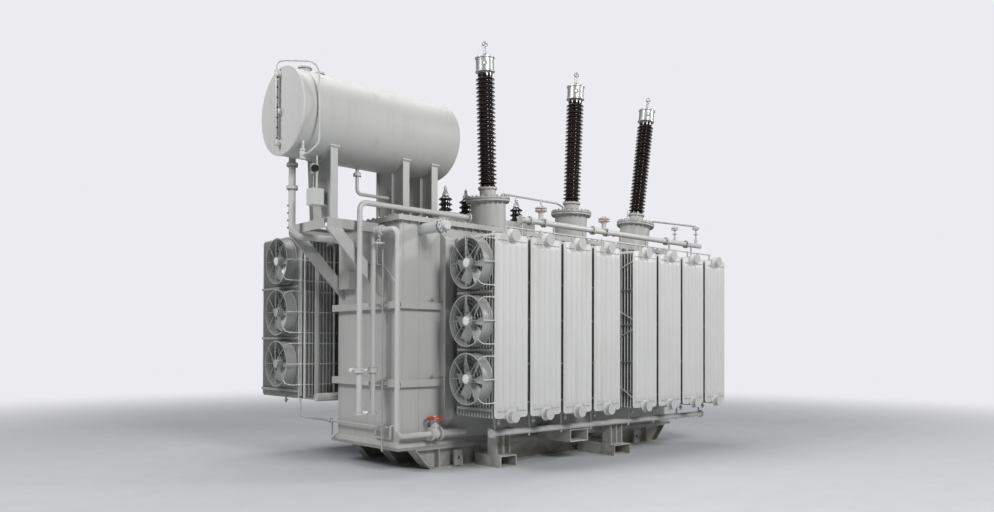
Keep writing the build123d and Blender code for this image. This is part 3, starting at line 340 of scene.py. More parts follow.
def add_floor():
    clear_selection()
    bpy.ops.mesh.primitive_plane_add(size=180)
    floor = bpy.context.object
    floor.name = "studio_floor"
    finish = Finish("pale_floor", roughness=0.6)
    grain = finish.noise(3.0, 5.0)
    tone = finish.blend(grain, shade(0.46, 0.47, 0.49), shade(0.52, 0.53, 0.55))
    finish.feed("Base Color", tone)
    finish.bump(finish.noise(40.0, 3.0), 0.15, 0.003)
    flat = finish.node("ShaderNodeVectorMath", {"operation": "LENGTH"}, {0: finish.place((1, 1, 0))}, 1)
    far = finish.node("ShaderNodeMapRange", {"interpolation_type": "SMOOTHSTEP"},
                      {"Value": flat, "From Min": 5.5, "From Max": 17.0})
    seen = finish.node("ShaderNodeLightPath", {}, {}, "Is Camera Ray")
    glossy = finish.node("ShaderNodeLightPath", {}, {}, "Is Glossy Ray")
    glow = finish.node("ShaderNodeEmission", {}, {"Color": BACKDROP})
    surface = Pattern(finish, finish.shader.outputs[0])
    both = finish.node("ShaderNodeMixShader", {}, {0: far * (seen + glossy), 1: surface, 2: glow})
    finish.tree.links.new(both.socket, finish.tree.nodes["Material Output"].inputs["Surface"])
    floor.data.materials.append(finish.material)


add_floor()

# %% Light the studio
AIM = (0.0, 0.0, 2.0)


def add_lamp(name, place, size, power):
    data = bpy.data.lights.new(name, "AREA")
    data.shape = "RECTANGLE"
    data.size, data.size_y = size
    data.energy = power
    lamp = bpy.data.objects.new(name, data)
    lamp.location = place
    aim = Vector(AIM) - Vector(place)
    lamp.rotation_euler = aim.to_track_quat("-Z", "Y").to_euler()
    bpy.context.scene.collection.objects.link(lamp)


world = bpy.data.worlds.new("studio")
bpy.context.scene.world = world
world.use_nodes = True
sky = world.node_tree
sky.nodes.clear()
output = sky.nodes.new("ShaderNodeOutputWorld")
seen = sky.nodes.new("ShaderNodeBackground")
seen.inputs["Color"].default_value = BACKDROP
lit = sky.nodes.new("ShaderNodeBackground")
lit.inputs["Color"].default_value = shade(0.80, 0.83, 0.88)
lit.inputs["Strength"].default_value = 0.16
rays = sky.nodes.new("ShaderNodeLightPath")
either = sky.nodes.new("ShaderNodeMixShader")
sky.links.new(rays.outputs["Is Camera Ray"], either.inputs[0])
sky.links.new(lit.outputs[0], either.inputs[1])
sky.links.new(seen.outputs[0], either.inputs[2])
sky.links.new(either.outputs[0], output.inputs["Surface"])

add_lamp("key_lamp", (-3.5, -13.0, 8.5), (4.0, 4.0), 1300)
add_lamp("right_lamp", (9.5, -8.5, 8.0), (2.0, 2.0), 660)
add_lamp("side_lamp", (-12.5, 1.8, 10.5), (5.0, 5.0), 1150)
add_lamp("top_lamp", (0.0, 2.0, 12.0), (10.0, 7.0), 640)
print("lamps", len(bpy.data.lights))

# %% [markdown]
# ## Tools of the bench
# Every new piece starts from a primitive and is shaped by the operators of edit mode. Three moves
# come back again and again: turning a round piece by extruding a disc ring by ring, picking the
# corners or faces that lie in some place, and copying one finished piece to many placements.

# %% Shape, copy and finish pieces
MM = 0.001
UP, DOWN, OUTWARD = (0, 0, 1), (0, 0, -1), (0, -1, 0)
TO_FAR_END, TO_NEAR_END = (1, 0, 0), (-1, 0, 0)


def at(x, y, z):
    return Matrix.Translation((x, y, z))


def pick(kind, test):
    """Select the vertices, edges or faces whose middle passes a test."""
    bpy.ops.mesh.select_mode(type=kind)
    bpy.ops.mesh.select_all(action="DESELECT")
    mesh = bmesh.from_edit_mesh(bpy.context.object.data)
    parts = {"VERT": mesh.verts, "EDGE": mesh.edges, "FACE": mesh.faces}[kind]
    bpy.context.view_layer.update()
    to_world = bpy.context.object.matrix_world
    for part in parts:
        corners = [part.co] if kind == "VERT" else [corner.co for corner in part.verts]
        middle = sum(corners, Vector()) / len(corners)
        if test(to_world @ middle):
            part.select_set(True)
    mesh.select_flush_mode()
    bmesh.update_edit_mesh(bpy.context.object.data)


def extruded(outline, sides, fill):
    """Extrude a circle on Z along an outline, listed as (radius, height) in millimetres."""
    clear_selection()
    rings = [(radius * MM, height * MM) for radius, height in outline]
    bpy.ops.mesh.primitive_circle_add(vertices=sides, radius=rings[0][0], fill_type=fill,
                                      location=(0, 0, rings[0][1]))
    bpy.ops.object.mode_set(mode="EDIT")
    bpy.ops.mesh.select_all(action="SELECT")
    for (radius, height), (next_radius, next_height) in zip(rings, rings[1:]):
        rise = (0, 0, next_height - height)
        bpy.ops.mesh.extrude_region_move(TRANSFORM_OT_translate={"value": rise})
        ratio = next_radius / radius
        bpy.ops.transform.resize(value=(ratio, ratio, 1))


def turned(outline, sides=32):
    """A solid round piece on Z from its outline."""
    extruded(outline, sides, "NGON")
    return closed()


def spun_wall(outline, sides=48):
    """A hollow round piece on Z from the closed outline of its wall."""
    extruded(outline + outline[:1], sides, "NOTHING")
    bpy.ops.mesh.select_all(action="SELECT")
    bpy.ops.mesh.remove_doubles(threshold=0.0002)
    return closed()


def cut(place, direction, **more):
    """Cut the whole mesh along a plane."""
    bpy.ops.mesh.select_all(action="SELECT")
    bpy.ops.mesh.bisect(plane_co=place, plane_no=direction, **more)


def closed():
    """Point the faces outwards, leave edit mode and set the piece on the origin."""
    bpy.ops.mesh.select_all(action="SELECT")
    bpy.ops.mesh.normals_make_consistent(inside=False)
    bpy.ops.object.mode_set(mode="OBJECT")
    piece = bpy.context.object
    bpy.ops.object.transform_apply(location=True, rotation=True, scale=True)
    return piece


def slab(size, middle, bevel=0.0, segments=2):
    """A block with bevelled edges, a start for plates, bars and boxes."""
    clear_selection()
    bpy.ops.mesh.primitive_cube_add(size=1, location=middle)
    bpy.ops.object.mode_set(mode="EDIT")
    bpy.ops.transform.resize(value=size)
    if bevel:
        bpy.ops.mesh.bevel(offset=bevel, segments=segments, affect="EDGES")
    return closed()


def joined(pieces):
    clear_selection()
    for piece in pieces:
        piece.select_set(True)
    bpy.context.view_layer.objects.active = pieces[0]
    if len(pieces) > 1:
        bpy.ops.object.join()
    return bpy.context.object


def copied(pattern, placements, keep=False):
    """Copy a piece to each placement, every copy with its own mesh, and join the copies."""
    made = []
    for placement in placements:
        copy = pattern.copy()
        copy.data = pattern.data.copy()
        copy.data.transform(placement)
        bpy.context.scene.collection.objects.link(copy)
        made.append(copy)
    if not keep:
        bpy.data.objects.remove(pattern)
    return joined(made)


def wire(points, radius, sides=8, ring=False):
    """A thin round bar bent through the points, with a sharp bend at each point."""
    curve = bpy.data.curves.new("wire", "CURVE")
    curve.dimensions = "3D"
    curve.bevel_depth = radius
    curve.bevel_resolution = max(1, sides // 4 - 1)
    curve.use_fill_caps = not ring
    line = curve.splines.new("POLY")
    line.points.add(len(points) - 1)
    for point, place in zip(line.points, points):
        point.co = (*place, 1)
    line.use_cyclic_u = ring
    bar = bpy.data.objects.new("wire", curve)
    bpy.context.scene.collection.objects.link(bar)
    clear_selection()
    bar.select_set(True)
    bpy.context.view_layer.objects.active = bar
    bpy.ops.object.convert(target="MESH")
    return bpy.context.object


def dressed(piece, name, finish, slot=None, body="root", angle=35, replaces=()):
    """Name a finished piece, smooth its round faces, give it its finish and let it ride on a body."""
    joined([piece])
    bpy.ops.object.shade_smooth_by_angle(angle=math.radians(angle))
    piece.name = name
    piece.data.name = name
    piece.data.materials.clear()
    piece.data.materials.append(finish)
    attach(piece, body)
    if replaces:
        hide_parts(*replaces)
    print(name, len(piece.data.polygons), "faces")


def placed(pattern, placements, *words, keep=False, **more):
    """Copy a pattern to its placements and dress the copies as one piece."""
    dressed(copied(pattern, placements, keep), *words, **more)


def facing(place, direction, turn=0.0, scale=1.0):
    """A placement whose Z looks along a direction."""
    lean = Vector(direction).to_track_quat("Z", "Y").to_matrix().to_4x4()
    spin = Matrix.Rotation(turn, 4, "Z")
    return at(*place) @ lean @ spin @ Matrix.Scale(scale, 4)


def around(centre, direction, radius, count, phase=0.0, scale=1.0):
    """Placements on a bolt circle."""
    base = facing(centre, direction)
    spots = []
    for number in range(count):
        angle = 2 * math.pi * (number + phase) / count
        turn = Matrix.Rotation(angle, 4, "Z")
        spots.append(base @ turn @ at(radius, 0, 0) @ Matrix.Scale(scale, 4))
    return spots


def along(start, end, count, direction):
    """Placements in a row, both ends included."""
    first, last = Vector(start), Vector(end)
    steps = max(1, count - 1)
    return [facing(first.lerp(last, number / steps), direction, 0.4 * number) for number in range(count)]


# %% [markdown]
# ## Radiator sheets
# A radiator is a row of hollow panels, each pressed from two thin sheets. The seam round its edge
# is flat and thin, the body stands a few millimetres proud, and five soft flutes run down it. One
# plane is cut into strips by bisecting, the strips are pushed out in turn, and the finished sheet
# is copied to every radiator of both banks.

# %% Press one outer sheet
SHEET_WIDTH = 0.520
SHEET_HEIGHT = 2.100
SEAM = 0.016
FLUTES = 5
FLUTE_STEPS = 6
BODY_RISE = 0.006
FLUTE_RISE = 0.012
FLUTE_MARGIN = 0.105
EDGE_SWELL = 0.72
CORNER_CUT = 0.040
EDGE_TURN = 0.010


def pressed_sheet():
    """The outer sheet, in the XZ plane, facing -Y, with its lower left corner at the origin."""
    clear_selection()
    bpy.ops.mesh.primitive_plane_add(size=1, rotation=(math.pi / 2, 0, 0),
                                     location=(SHEET_WIDTH / 2, 0, SHEET_HEIGHT / 2))
    bpy.ops.object.mode_set(mode="EDIT")
    bpy.ops.transform.resize(value=(SHEET_WIDTH, 1, SHEET_HEIGHT))
    bpy.ops.mesh.bevel(offset=CORNER_CUT, segments=6, affect="VERTICES")
    inner = SHEET_WIDTH - 2 * SEAM
    step = inner / (FLUTES * FLUTE_STEPS)
    cuts = [SEAM + step * number for number in range(FLUTES * FLUTE_STEPS + 1)]
    for x in cuts:
        cut((x, 0, 0), TO_FAR_END)
    ends = [0.0, 0.012, 0.026, 0.042]
    levels = [SEAM, SEAM + 0.012] + [FLUTE_MARGIN + end for end in ends]
    levels += [SHEET_HEIGHT - level for level in levels]
    for z in levels:
        cut((0, 0, z), UP)
    pick("VERT", lambda spot: SEAM + 0.001 < spot.x < SHEET_WIDTH - SEAM - 0.001
         and SEAM + 0.001 < spot.z < SHEET_HEIGHT - SEAM - 0.001)
    bpy.ops.transform.translate(value=(0, -BODY_RISE, 0))
    for number, x in enumerate(cuts[1:-1], 1):
        place = number % FLUTE_STEPS
        if place == 0:
            continue
        swell = EDGE_SWELL if place in (1, FLUTE_STEPS - 1) else 1.0
        for end, share in zip(ends[1:], (0.55, 0.88, 1.0)):
            def in_row(spot, x=x, end=end):
                if abs(spot.x - x) > 0.001:
                    return False
                depth = min(spot.z, SHEET_HEIGHT - spot.z) - FLUTE_MARGIN
                return abs(depth - end) < 0.001 if end < ends[-1] else depth > end - 0.001
            pick("VERT", in_row)
            bpy.ops.transform.translate(value=(0, -FLUTE_RISE * swell * share, 0))
    bpy.ops.mesh.select_mode(type="EDGE")
    bpy.ops.mesh.select_all(action="SELECT")
    bpy.ops.mesh.region_to_loop()
    bpy.ops.mesh.extrude_edges_move(TRANSFORM_OT_translate={"value": (0, EDGE_TURN, 0)})
    bpy.ops.mesh.edge_face_add()
    return closed()


sheet = pressed_sheet()
print("sheet", len(sheet.data.polygons), "faces", [round(size, 3) for size in sheet.dimensions])

# %% Hang the outer sheets on both banks
RADIATOR_PITCH, GROUP_GAP = 0.570, 0.220
RIGHT_FACE, RIGHT_BOTTOM = -1.620, 0.650
LEFT_FACE, LEFT_BOTTOM = 0.900, 0.790
RIGHT_PANELS, LEFT_PANELS = 14, 22
PANEL_PITCH = 0.050
RIGHT_INSET, LEFT_INSET = 0.008, 0.012
HEADER_INSET = 0.015
HEADER_LEVELS = (RIGHT_BOTTOM + HEADER_INSET, RIGHT_BOTTOM + SHEET_HEIGHT - HEADER_INSET)


def radiator_starts(first):
    """The near edges of eight radiators, in two groups of four with a gap between them."""
    return [first + RADIATOR_PITCH * number + (GROUP_GAP if number > 3 else 0) for number in range(8)]


RIGHT_STARTS, LEFT_STARTS = radiator_starts(-1.950), radiator_starts(-3.010)
spots = [at(x, RIGHT_FACE + RIGHT_INSET, RIGHT_BOTTOM) for x in RIGHT_STARTS]
placed(sheet, spots, "right_outer_sheets", radiator_enamel, angle=50, replaces=["right_radiator_faces"],
       keep=True)
turn_round = Matrix.Rotation(math.pi, 4, "Z")
outer_left = LEFT_FACE + (LEFT_PANELS - 1) * PANEL_PITCH - LEFT_INSET
spots = [at(x + SHEET_WIDTH, outer_left, LEFT_BOTTOM) @ turn_round for x in LEFT_STARTS]
placed(sheet, spots, "left_outer_sheets", radiator_enamel, angle=50, replaces=["left_radiator_faces"])

# %% [markdown]
# ## Inner panels
# Behind the outer sheets hang the other panels, 50 mm apart. Only their edges and a little of
# their sides ever show, and there are more than two hundred, so each has only a few dozen faces:
# the thin seam, the swollen body and shallow flutes.

# %% Mix the enamel of the inner panels, with painted shade between them
def panel_shade_enamel(name, lit_ends, top):
    """Painted shade: dark between the panels, where light doesn't reach, and light on the open ends and the
    top edge.
    """
    finish = Finish(name, roughness=0.55)
    along_x = finish.node("ShaderNodeSeparateXYZ", {}, {0: finish.place()}, "X")
    lit_share = finish.height(top - 0.05, top - 0.02)
    for end in lit_ends:
        near = {0: along_x, 1: end, 2: 0.022}
        lit_share = lit_share + finish.node("ShaderNodeMath", {"operation": "COMPARE"}, near)
    lit_share = finish.ramp(lit_share, 0.2, 0.9)
    mottle = finish.noise(6.0, 4.0)
    # Painted shade: the dark tones stand for the shade deep between the panels, and the light tones for the
    # lit ends and top edge.
    dark = finish.blend(mottle, shade(0.19, 0.195, 0.185), shade(0.26, 0.265, 0.25))
    light = finish.blend(mottle, shade(0.545, 0.558, 0.535), shade(0.47, 0.48, 0.455))
    finish.feed("Base Color", finish.blend(lit_share, dark, light))
    finish.feed("Roughness", 0.50 + mottle * 0.15)
    finish.bump(finish.noise(120.0, 2.0), 0.15, 0.002)
    return finish.material


# %% Press one inner panel and copy it


def inner_panel():
    """A panel in the XZ plane with its middle plane on Y = 0: both sides bulge from a thin seam."""
    clear_selection()
    bpy.ops.mesh.primitive_cube_add(size=1, location=(SHEET_WIDTH / 2, 0, SHEET_HEIGHT / 2))
    bpy.ops.object.mode_set(mode="EDIT")
    bpy.ops.transform.resize(value=(SHEET_WIDTH, 0.004, SHEET_HEIGHT))
    inner = SHEET_WIDTH - 2 * SEAM
    for number in range(9):
        cut((SEAM + inner * number / 8, 0, 0), TO_FAR_END)
    for z in (SEAM * 2, SHEET_HEIGHT - SEAM * 2):
        cut((0, 0, z), UP)
    for side in (-1, 1):
        for number in range(1, 8):
            x = SEAM + inner * number / 8
            depth = 0.0075 if number % 2 else 0.0045
            pick("VERT", lambda spot: abs(spot.x - x) < 0.002 and spot.y * side > 0
                 and SEAM < spot.z < SHEET_HEIGHT - SEAM)
            bpy.ops.transform.translate(value=(0, side * depth, 0))
    return closed()


panel = inner_panel()
print("panel", len(panel.data.polygons), "faces")
banks = (("right", RIGHT_STARTS, RIGHT_FACE, RIGHT_BOTTOM, range(1, RIGHT_PANELS)),
         ("left", LEFT_STARTS, LEFT_FACE, LEFT_BOTTOM, range(1, LEFT_PANELS - 1)))
for side, starts, face, bottom, rows in banks:
    spots = [at(x, face + row * PANEL_PITCH + 0.005, bottom) for x in starts for row in rows]
    lit_ends = (starts[0], starts[3] + SHEET_WIDTH, starts[4], starts[7] + SHEET_WIDTH)
    finish = panel_shade_enamel(f"{side}_panel_shade_enamel", lit_ends, bottom + SHEET_HEIGHT)
    placed(panel, spots, f"{side}_inner_panels", finish, "radiator_enamel", angle=40,
           replaces=[f"{side}_radiator_panels"], keep=True)
bpy.data.objects.remove(panel)

# %% [markdown]
# ## High-voltage bushings
# Each bushing is a stack of 26 thin sheds on a slim core. A shed is flat below and slopes on top,
# so that rain runs off, and its lip is rounded. The outline is turned from the bottom up, once,
# and copied onto the three turrets, which lean a little as in the photograph.

# %% Turn the porcelains
TURRETS = ((-0.880, -4.3), (0.740, 0.0), (2.220, 5.9))
TURRET_Y = -0.320
COVER_TOP = 2.990
LEAN = 2.6
PORCELAIN_FOOT, PORCELAIN_TOP = 590, 2070
SHEDS = 26


def turret_frames():
    """The placement of each turret, with its Z along the bushing."""
    frames = []
    for x, tilt in TURRETS:
        lean = Matrix.Rotation(math.radians(LEAN), 4, "X") @ Matrix.Rotation(math.radians(tilt), 4, "Y")
        frames.append(at(x, TURRET_Y, COVER_TOP) @ lean)
    return frames


def porcelain_rings():
    start, end = PORCELAIN_FOOT + 38, PORCELAIN_TOP - 38
    pitch = (end - start) / SHEDS
    rings = [(102, PORCELAIN_FOOT), (102, start - 6), (92, start)]
    for number in range(SHEDS):
        z = start + pitch * number
        rings += [(88, z + 4), (119, z + 13), (126.2, z + 16), (126.8, z + 20), (120, z + 26),
                  (94, z + 38), (88, z + pitch - 3)]
    return rings + [(98, end + 6), (98, PORCELAIN_TOP)]


frames = turret_frames()
placed(turned(porcelain_rings(), 40), frames, "glazed_porcelains", brown_porcelain, angle=40,
       replaces=["hv_porcelains"])

# %% [markdown]
# ## Small hardware
# Bolts hold the cover, the flanges and the caps. A bolt is a hexagon and a washer: six sides and a
# disc are enough, because hundreds of them are copied. Each pair of faces of a flange gets a circle
# of them.

# %% Make one bolt and place it many times


def hex_bolt(width, height):
    """A bolt head on its washer, on Z, with its foot at 0, sized in millimetres."""
    washer = turned([(width * 0.66, -2), (width * 0.66, 4), (width * 0.40, 4.5)], 12)
    head = turned([(width * 0.5, 2), (width * 0.5, height * 0.8), (width * 0.40, height)], 6)
    return joined([washer, head])


def pair_of_circles(place, direction, radius, count, reach, scale=1.0):
    """Bolt circles on both outer faces of a flange, reach away from its middle."""
    middle, axis = Vector(place), Vector(direction).normalized()
    spots = around(middle + axis * reach, axis, radius, count, 0.25, scale)
    return spots + around(middle - axis * reach, -axis, radius, count, 0.25, scale)


GAS_PIPE_Y, GAS_PIPE_Z = -1.200, 3.028
GAS_FLANGES = (-0.983, -0.733, 0.213, 0.485, 1.864, 2.377)
flange_spots = []
for x in GAS_FLANGES:
    flange_spots += pair_of_circles((x, GAS_PIPE_Y, GAS_PIPE_Z), TO_FAR_END, 0.047, 6, 0.016, 0.8)
for x in RIGHT_STARTS:
    for z in HEADER_LEVELS:
        flange_spots += around((x + SHEET_WIDTH / 2, -0.719, z), OUTWARD, 0.058, 6, 0.5, 0.8)
for place, radius, count, scale in (
        ((-3.455, 0.300, 3.331), 0.054, 6, 0.9), ((-3.455, 0.300, 3.603), 0.054, 6, 0.9),
        ((-2.744, 0.0, 3.540), 0.038, 4, 0.8), ((-1.687, 0.0, 3.470), 0.050, 6, 0.8)):
    flange_spots += pair_of_circles(place, UP, radius, count, 0.016, scale)
for place, direction, radius, count, scale in (
        ((-3.463, 0.0, 4.673), UP, 0.074, 10, 0.7), ((-3.265, 0.0, 4.658), UP, 0.047, 6, 0.7),
        ((-2.275, -1.110, 2.850), OUTWARD, 0.076, 10, 0.7),
        ((-2.275, -1.050, 2.850), (0, 1, 0), 0.076, 10, 0.7),
        ((0.833, -1.020, 0.190), OUTWARD, 0.050, 6, 0.9)):
    flange_spots += around(place, direction, radius, count, 0, scale)
placed(hex_bolt(22, 13), flange_spots, "flange_bolts", zinc_bolts)

# %% [markdown]
# ## Cover bolts
# The cover is the one lid that seals the whole tank, so bolts stand all round it, about 120 mm
# apart, with their nuts under the rim. They are the row of small bright points along its edge.

# %% Bolt the cover down
COVER_EDGE_X, COVER_EDGE_Y = 2.620, 0.705
RIM_UNDERSIDE = 2.930
LONG_SIDE_BOLTS, SHORT_SIDE_BOLTS = 44, 12
cover_spots = []
for direction, height in ((UP, COVER_TOP), (DOWN, RIM_UNDERSIDE)):
    for side in (-1, 1):
        cover_spots += along((-2.58, side * COVER_EDGE_Y, height), (2.58, side * COVER_EDGE_Y, height),
                             LONG_SIDE_BOLTS, direction)
        cover_spots += along((side * COVER_EDGE_X, -0.62, height), (side * COVER_EDGE_X, 0.62, height),
                             SHORT_SIDE_BOLTS, direction)
placed(hex_bolt(30, 20), cover_spots, "cover_bolts", zinc_bolts)

# %% [markdown]
# ## Header ends and sheet marks
# Where a header pipe passes through the outer sheet, the sheet is drawn out into a dished collar.
# Short pressed dimples and the rods that tie neighbouring radiators are the only other marks on it.
# Slanting braces hold the near end of the second group.

# %% Turn the collars, press the dimples and tie the radiators
collar = turned([(82, 0), (79, 5), (68, 12), (64, 30), (64, 54)], 28)
collar_spots = [facing((x + SHEET_WIDTH / 2, RIGHT_FACE + 0.004, z), OUTWARD)
                for x in RIGHT_STARTS for z in HEADER_LEVELS]
placed(collar, collar_spots, "header_collars", radiator_enamel)

emboss = spun_wall([(94, -2), (99, 6), (107, 6), (112, -2)], 40)
emboss_spots = [facing((x + SHEET_WIDTH / 2, RIGHT_FACE + 0.002, 0.722), OUTWARD) for x in RIGHT_STARTS]
placed(emboss, emboss_spots, "collar_embosses", radiator_enamel)

DIMPLE_PLACES = (0.060, 0.112, 0.164, 0.356, 0.408, 0.460)
dimple_spots = []
for x in RIGHT_STARTS:
    for place in DIMPLE_PLACES:
        for z in (RIGHT_BOTTOM + 0.078, RIGHT_BOTTOM + SHEET_HEIGHT - 0.078):
            dimple_spots.append(at(x + place, RIGHT_FACE - BODY_RISE, z))
# Painted shade: the dimples are dark slabs that stand for the shade of pressed marks.
placed(slab((0.030, 0.008, 0.007), (0, 0, 0), 0.002), dimple_spots, "sheet_dimples", dark_drum_and_shade_enamel)

tie_rods = []
for first, last in ((0, 3), (4, 7)):
    for z in (0.815, 1.260, 1.780, 2.210):
        ends = (RIGHT_STARTS[first], RIGHT_STARTS[last] + SHEET_WIDTH)
        tie_rods.append(wire([(ends[0], -1.598, z), (ends[1], -1.598, z)], 0.006))
GROUP_END = RIGHT_STARTS[4] - 0.005
for z in (0.860, 1.260, 1.755, 2.224):
    tie_rods.append(wire([(GROUP_END, -1.606, z), (GROUP_END, -1.050, z)], 0.007))
# Painted shade: the tie rods in the gaps between radiators take the dark enamel.
dressed(joined(tie_rods), "radiator_tie_rods", dark_drum_and_shade_enamel)

braces = []
for outer, inner in ((2.602, 2.351), (1.834, 2.112), (1.690, 1.443), (0.795, 1.145)):
    braces.append(wire([(GROUP_END - 0.008, -1.606, outer), (GROUP_END - 0.008, -1.056, inner)], 0.007))
dressed(joined(braces), "group_end_braces", radiator_enamel)

# %% [markdown]
# ## Fans
# Three fans blow through each bank from its near end. A fan is a rolled drum with a lip at both
# edges, a wire guard of spokes and rings, a motor with a white cap in the middle and six pitched
# sheet blades behind. The drum is a hollow profile, so it is spun from a closed outline.

# %% Make a fan drum, its guard and its motor
FAN_DEPTH = 150
FAN_STEP = 0.665
FAN_CENTRES = {"right": (-1.290, 1.755), "left": (1.270, 1.895)}


def polar(radius, degrees, height):
    angle = math.radians(degrees)
    return (radius * math.cos(angle), radius * math.sin(angle), height)


def fan_drum():
    front = [(280, 8), (284, 0), (298, 0), (301, 4), (298, 10), (288, 13)]
    return spun_wall(front + [(radius, FAN_DEPTH - height) for radius, height in reversed(front)])


def fan_guard():
    """Eight spokes from the motor to the lip, the upright ones doubled, and thin rings on them."""
    bars = []
    for number in range(8):
        degrees = 45 * number
        spreads = (-2.6, 2.6) if number in (2, 6) else (0,)
        for spread in spreads:
            foot = polar(0.045, degrees + spread * 4, 0.155)
            bars.append(wire([foot, polar(0.170, degrees + spread * 1.4, 0.155),
                              polar(0.270, degrees + spread, 0.150), polar(0.296, degrees + spread, 0.146)],
                             0.0045, 6))
    for radius, height in ((0.110, 0.157), (0.165, 0.156), (0.215, 0.154), (0.258, 0.151)):
        bars.append(wire([polar(radius, 9 * number, height) for number in range(40)], 0.0016, 6, True))
    return joined(bars)


def fan_motor():
    body = turned([(46, 52), (56, 58), (58, 64), (58, 126), (50, 136)], 32)
    box = slab((0.050, 0.034, 0.040), (0.0, 0.066, 0.094), 0.005)
    return joined([body, box])


def fan_supports(stand_out, reach):
    """A straight rod at three o'clock and a bent one above and below it, back to the panels."""
    bars = [wire([(0.298, 0, 0.146), (stand_out, 0, 0.138), (stand_out, 0, -reach)], 0.006)]
    for side in (-1, 1):
        bars.append(wire([(0.208, side * 0.208, 0.148), (0.250, side * 0.246, 0.146),
                          (stand_out - 0.030, side * 0.262, 0.134), (stand_out - 0.012, side * 0.264, 0.110),
                          (stand_out - 0.012, side * 0.264, -reach)], 0.006))
    knob = turned([(10, 0), (14, 4), (14, 14), (10, 18)], 16)
    for place in ((stand_out, 0.0), (stand_out - 0.012, 0.264), (stand_out - 0.012, -0.264)):
        bars.append(copied(knob, [at(*place, -0.012)], keep=True))
    bpy.data.objects.remove(knob)
    return joined(bars)


def fan_places(side, x):
    """The placements of a bank's three fans, from the lowest up."""
    y, middle = FAN_CENTRES[side]
    return [facing((x, y, middle + step * FAN_STEP), TO_NEAR_END) for step in (-1, 0, 1)]


FANS = (("right", fan_places("right", -1.9503), 0.318, 0.030),
        ("left", fan_places("left", -3.0103), 0.374, 0.560))
cap_rings = [(54, 138), (57, 141), (57, 152), (52, 157), (34, 160), (10, 161)]
for side, places, stand_out, reach in FANS:
    placed(fan_drum(), places, f"{side}_fan_drums", dark_drum_and_shade_enamel, replaces=[f"{side}_fan_shrouds"])
    placed(fan_guard(), places, f"{side}_fan_guards", silver_metal, "fan_metal")
    placed(fan_motor(), places, f"{side}_fan_motors", pipe_enamel)
    placed(fan_supports(stand_out, reach), places, f"{side}_fan_supports", radiator_enamel)
    white = places if side == "right" else places[2:]
    placed(turned(cap_rings, 32), white, f"{side}_fan_caps", white_cap, "fan_metal")
placed(turned(cap_rings, 32), FANS[1][1][:2], "left_bare_fan_caps", fan_metal)

# %% [markdown]
# ## Fan blades
# A blade is one sheet, wider towards its tip and pitched less there, because the tip moves faster.
# A grid is widened and turned column by column, then Solidify gives it its thickness.

# %% Pitch the blades and set them on their rotors
BLADE_COLUMNS = 8
BLADE_ROOT, BLADE_TIP = 0.052, 0.250


def fan_blade():
    clear_selection()
    bpy.ops.mesh.primitive_grid_add(x_subdivisions=BLADE_COLUMNS, y_subdivisions=4, size=1)
    bpy.ops.object.mode_set(mode="EDIT")
    span = BLADE_TIP - BLADE_ROOT
    bpy.ops.transform.resize(value=(span, 1, 1))
    bpy.ops.transform.translate(value=(BLADE_ROOT + span / 2, 0, 0))
    for number in range(BLADE_COLUMNS + 1):
        share = number / BLADE_COLUMNS
        x = BLADE_ROOT + span * share
        pick("VERT", lambda spot: abs(spot.x - x) < 0.001)
        width = 0.070 + 0.085 * share - 0.03 * share ** 4
        bpy.ops.transform.resize(value=(1, width, 1))
        bpy.ops.transform.rotate(value=math.radians(42 - 18 * share), orient_axis="X",
                                 center_override=(x, 0, 0))
    blade = closed()
    thick = blade.modifiers.new("thickness", "SOLIDIFY")
    thick.thickness = 0.004
    thick.offset = 0.0
    bpy.ops.object.modifier_apply(modifier="thickness")
    return blade


blades = copied(fan_blade(), [Matrix.Rotation(math.radians(60 * number), 4, "Z") for number in range(6)])
hub = turned([(50, -30), (56, -26), (56, 20), (50, 24)], 32)
rotor = joined([blades, hub])
for side, x in (("right", -2.0053), ("left", -3.0653)):
    for level, place in zip(("bottom", "middle", "top"), fan_places(side, x)):
        body = f"{side}_fan_rotor_{level}"
        placed(rotor, [place], f"{side}_{level}_blades", fan_metal, body=body, replaces=[body], keep=True)
bpy.data.objects.remove(rotor)

# %% [markdown]
# ## Bushing caps and turret bolts
# On top of each bushing sits a cast cap: a foot, a drum between two lids, a cone and the terminal
# stud with its clamp. Lower down, the bolts of the turret flange and of the neck stand in rings.

# %% Cast the caps and bolt the turrets
cap = turned([(82, 2066), (82, 2088), (127, 2090), (131, 2094), (131, 2104), (127, 2108), (119, 2112),
              (117, 2180), (119, 2262), (127, 2266), (131, 2270), (131, 2281), (126, 2286), (62, 2297),
              (32, 2309), (22, 2322), (20, 2350), (20, 2486), (17, 2492)], 48)
clamp = slab((0.066, 0.034, 0.040), (0.0, 0.0, 2.452), 0.005)
ear = slab((0.018, 0.050, 0.030), (0.036, 0.0, 2.452), 0.004)
glass = copied(turned([(30, 0), (30, 6), (26, 10), (22, 8)], 20),
               [facing((-0.076, -0.090, 2.190), (-0.64, -0.77, 0))])
placed(joined([cap, clamp, ear, glass]), frames, "cast_caps", silver_metal, replaces=["hv_caps"])

turret_spots = []
for turret in frames:
    for height, direction, radius, count, scale in (
            (0.453, 1, 0.270, 24, 1.0), (0.397, -1, 0.270, 24, 1.0), (0.590, 1, 0.116, 12, 0.6),
            (0.566, -1, 0.116, 12, 0.6), (2.284, 1, 0.112, 8, 0.6), (2.092, -1, 0.108, 8, 0.6)):
        spots = around((0, 0, height), (0, 0, direction), radius, count, 0, scale)
        turret_spots += [turret @ spot for spot in spots]
placed(hex_bolt(28, 20), turret_spots, "turret_bolts", zinc_bolts)

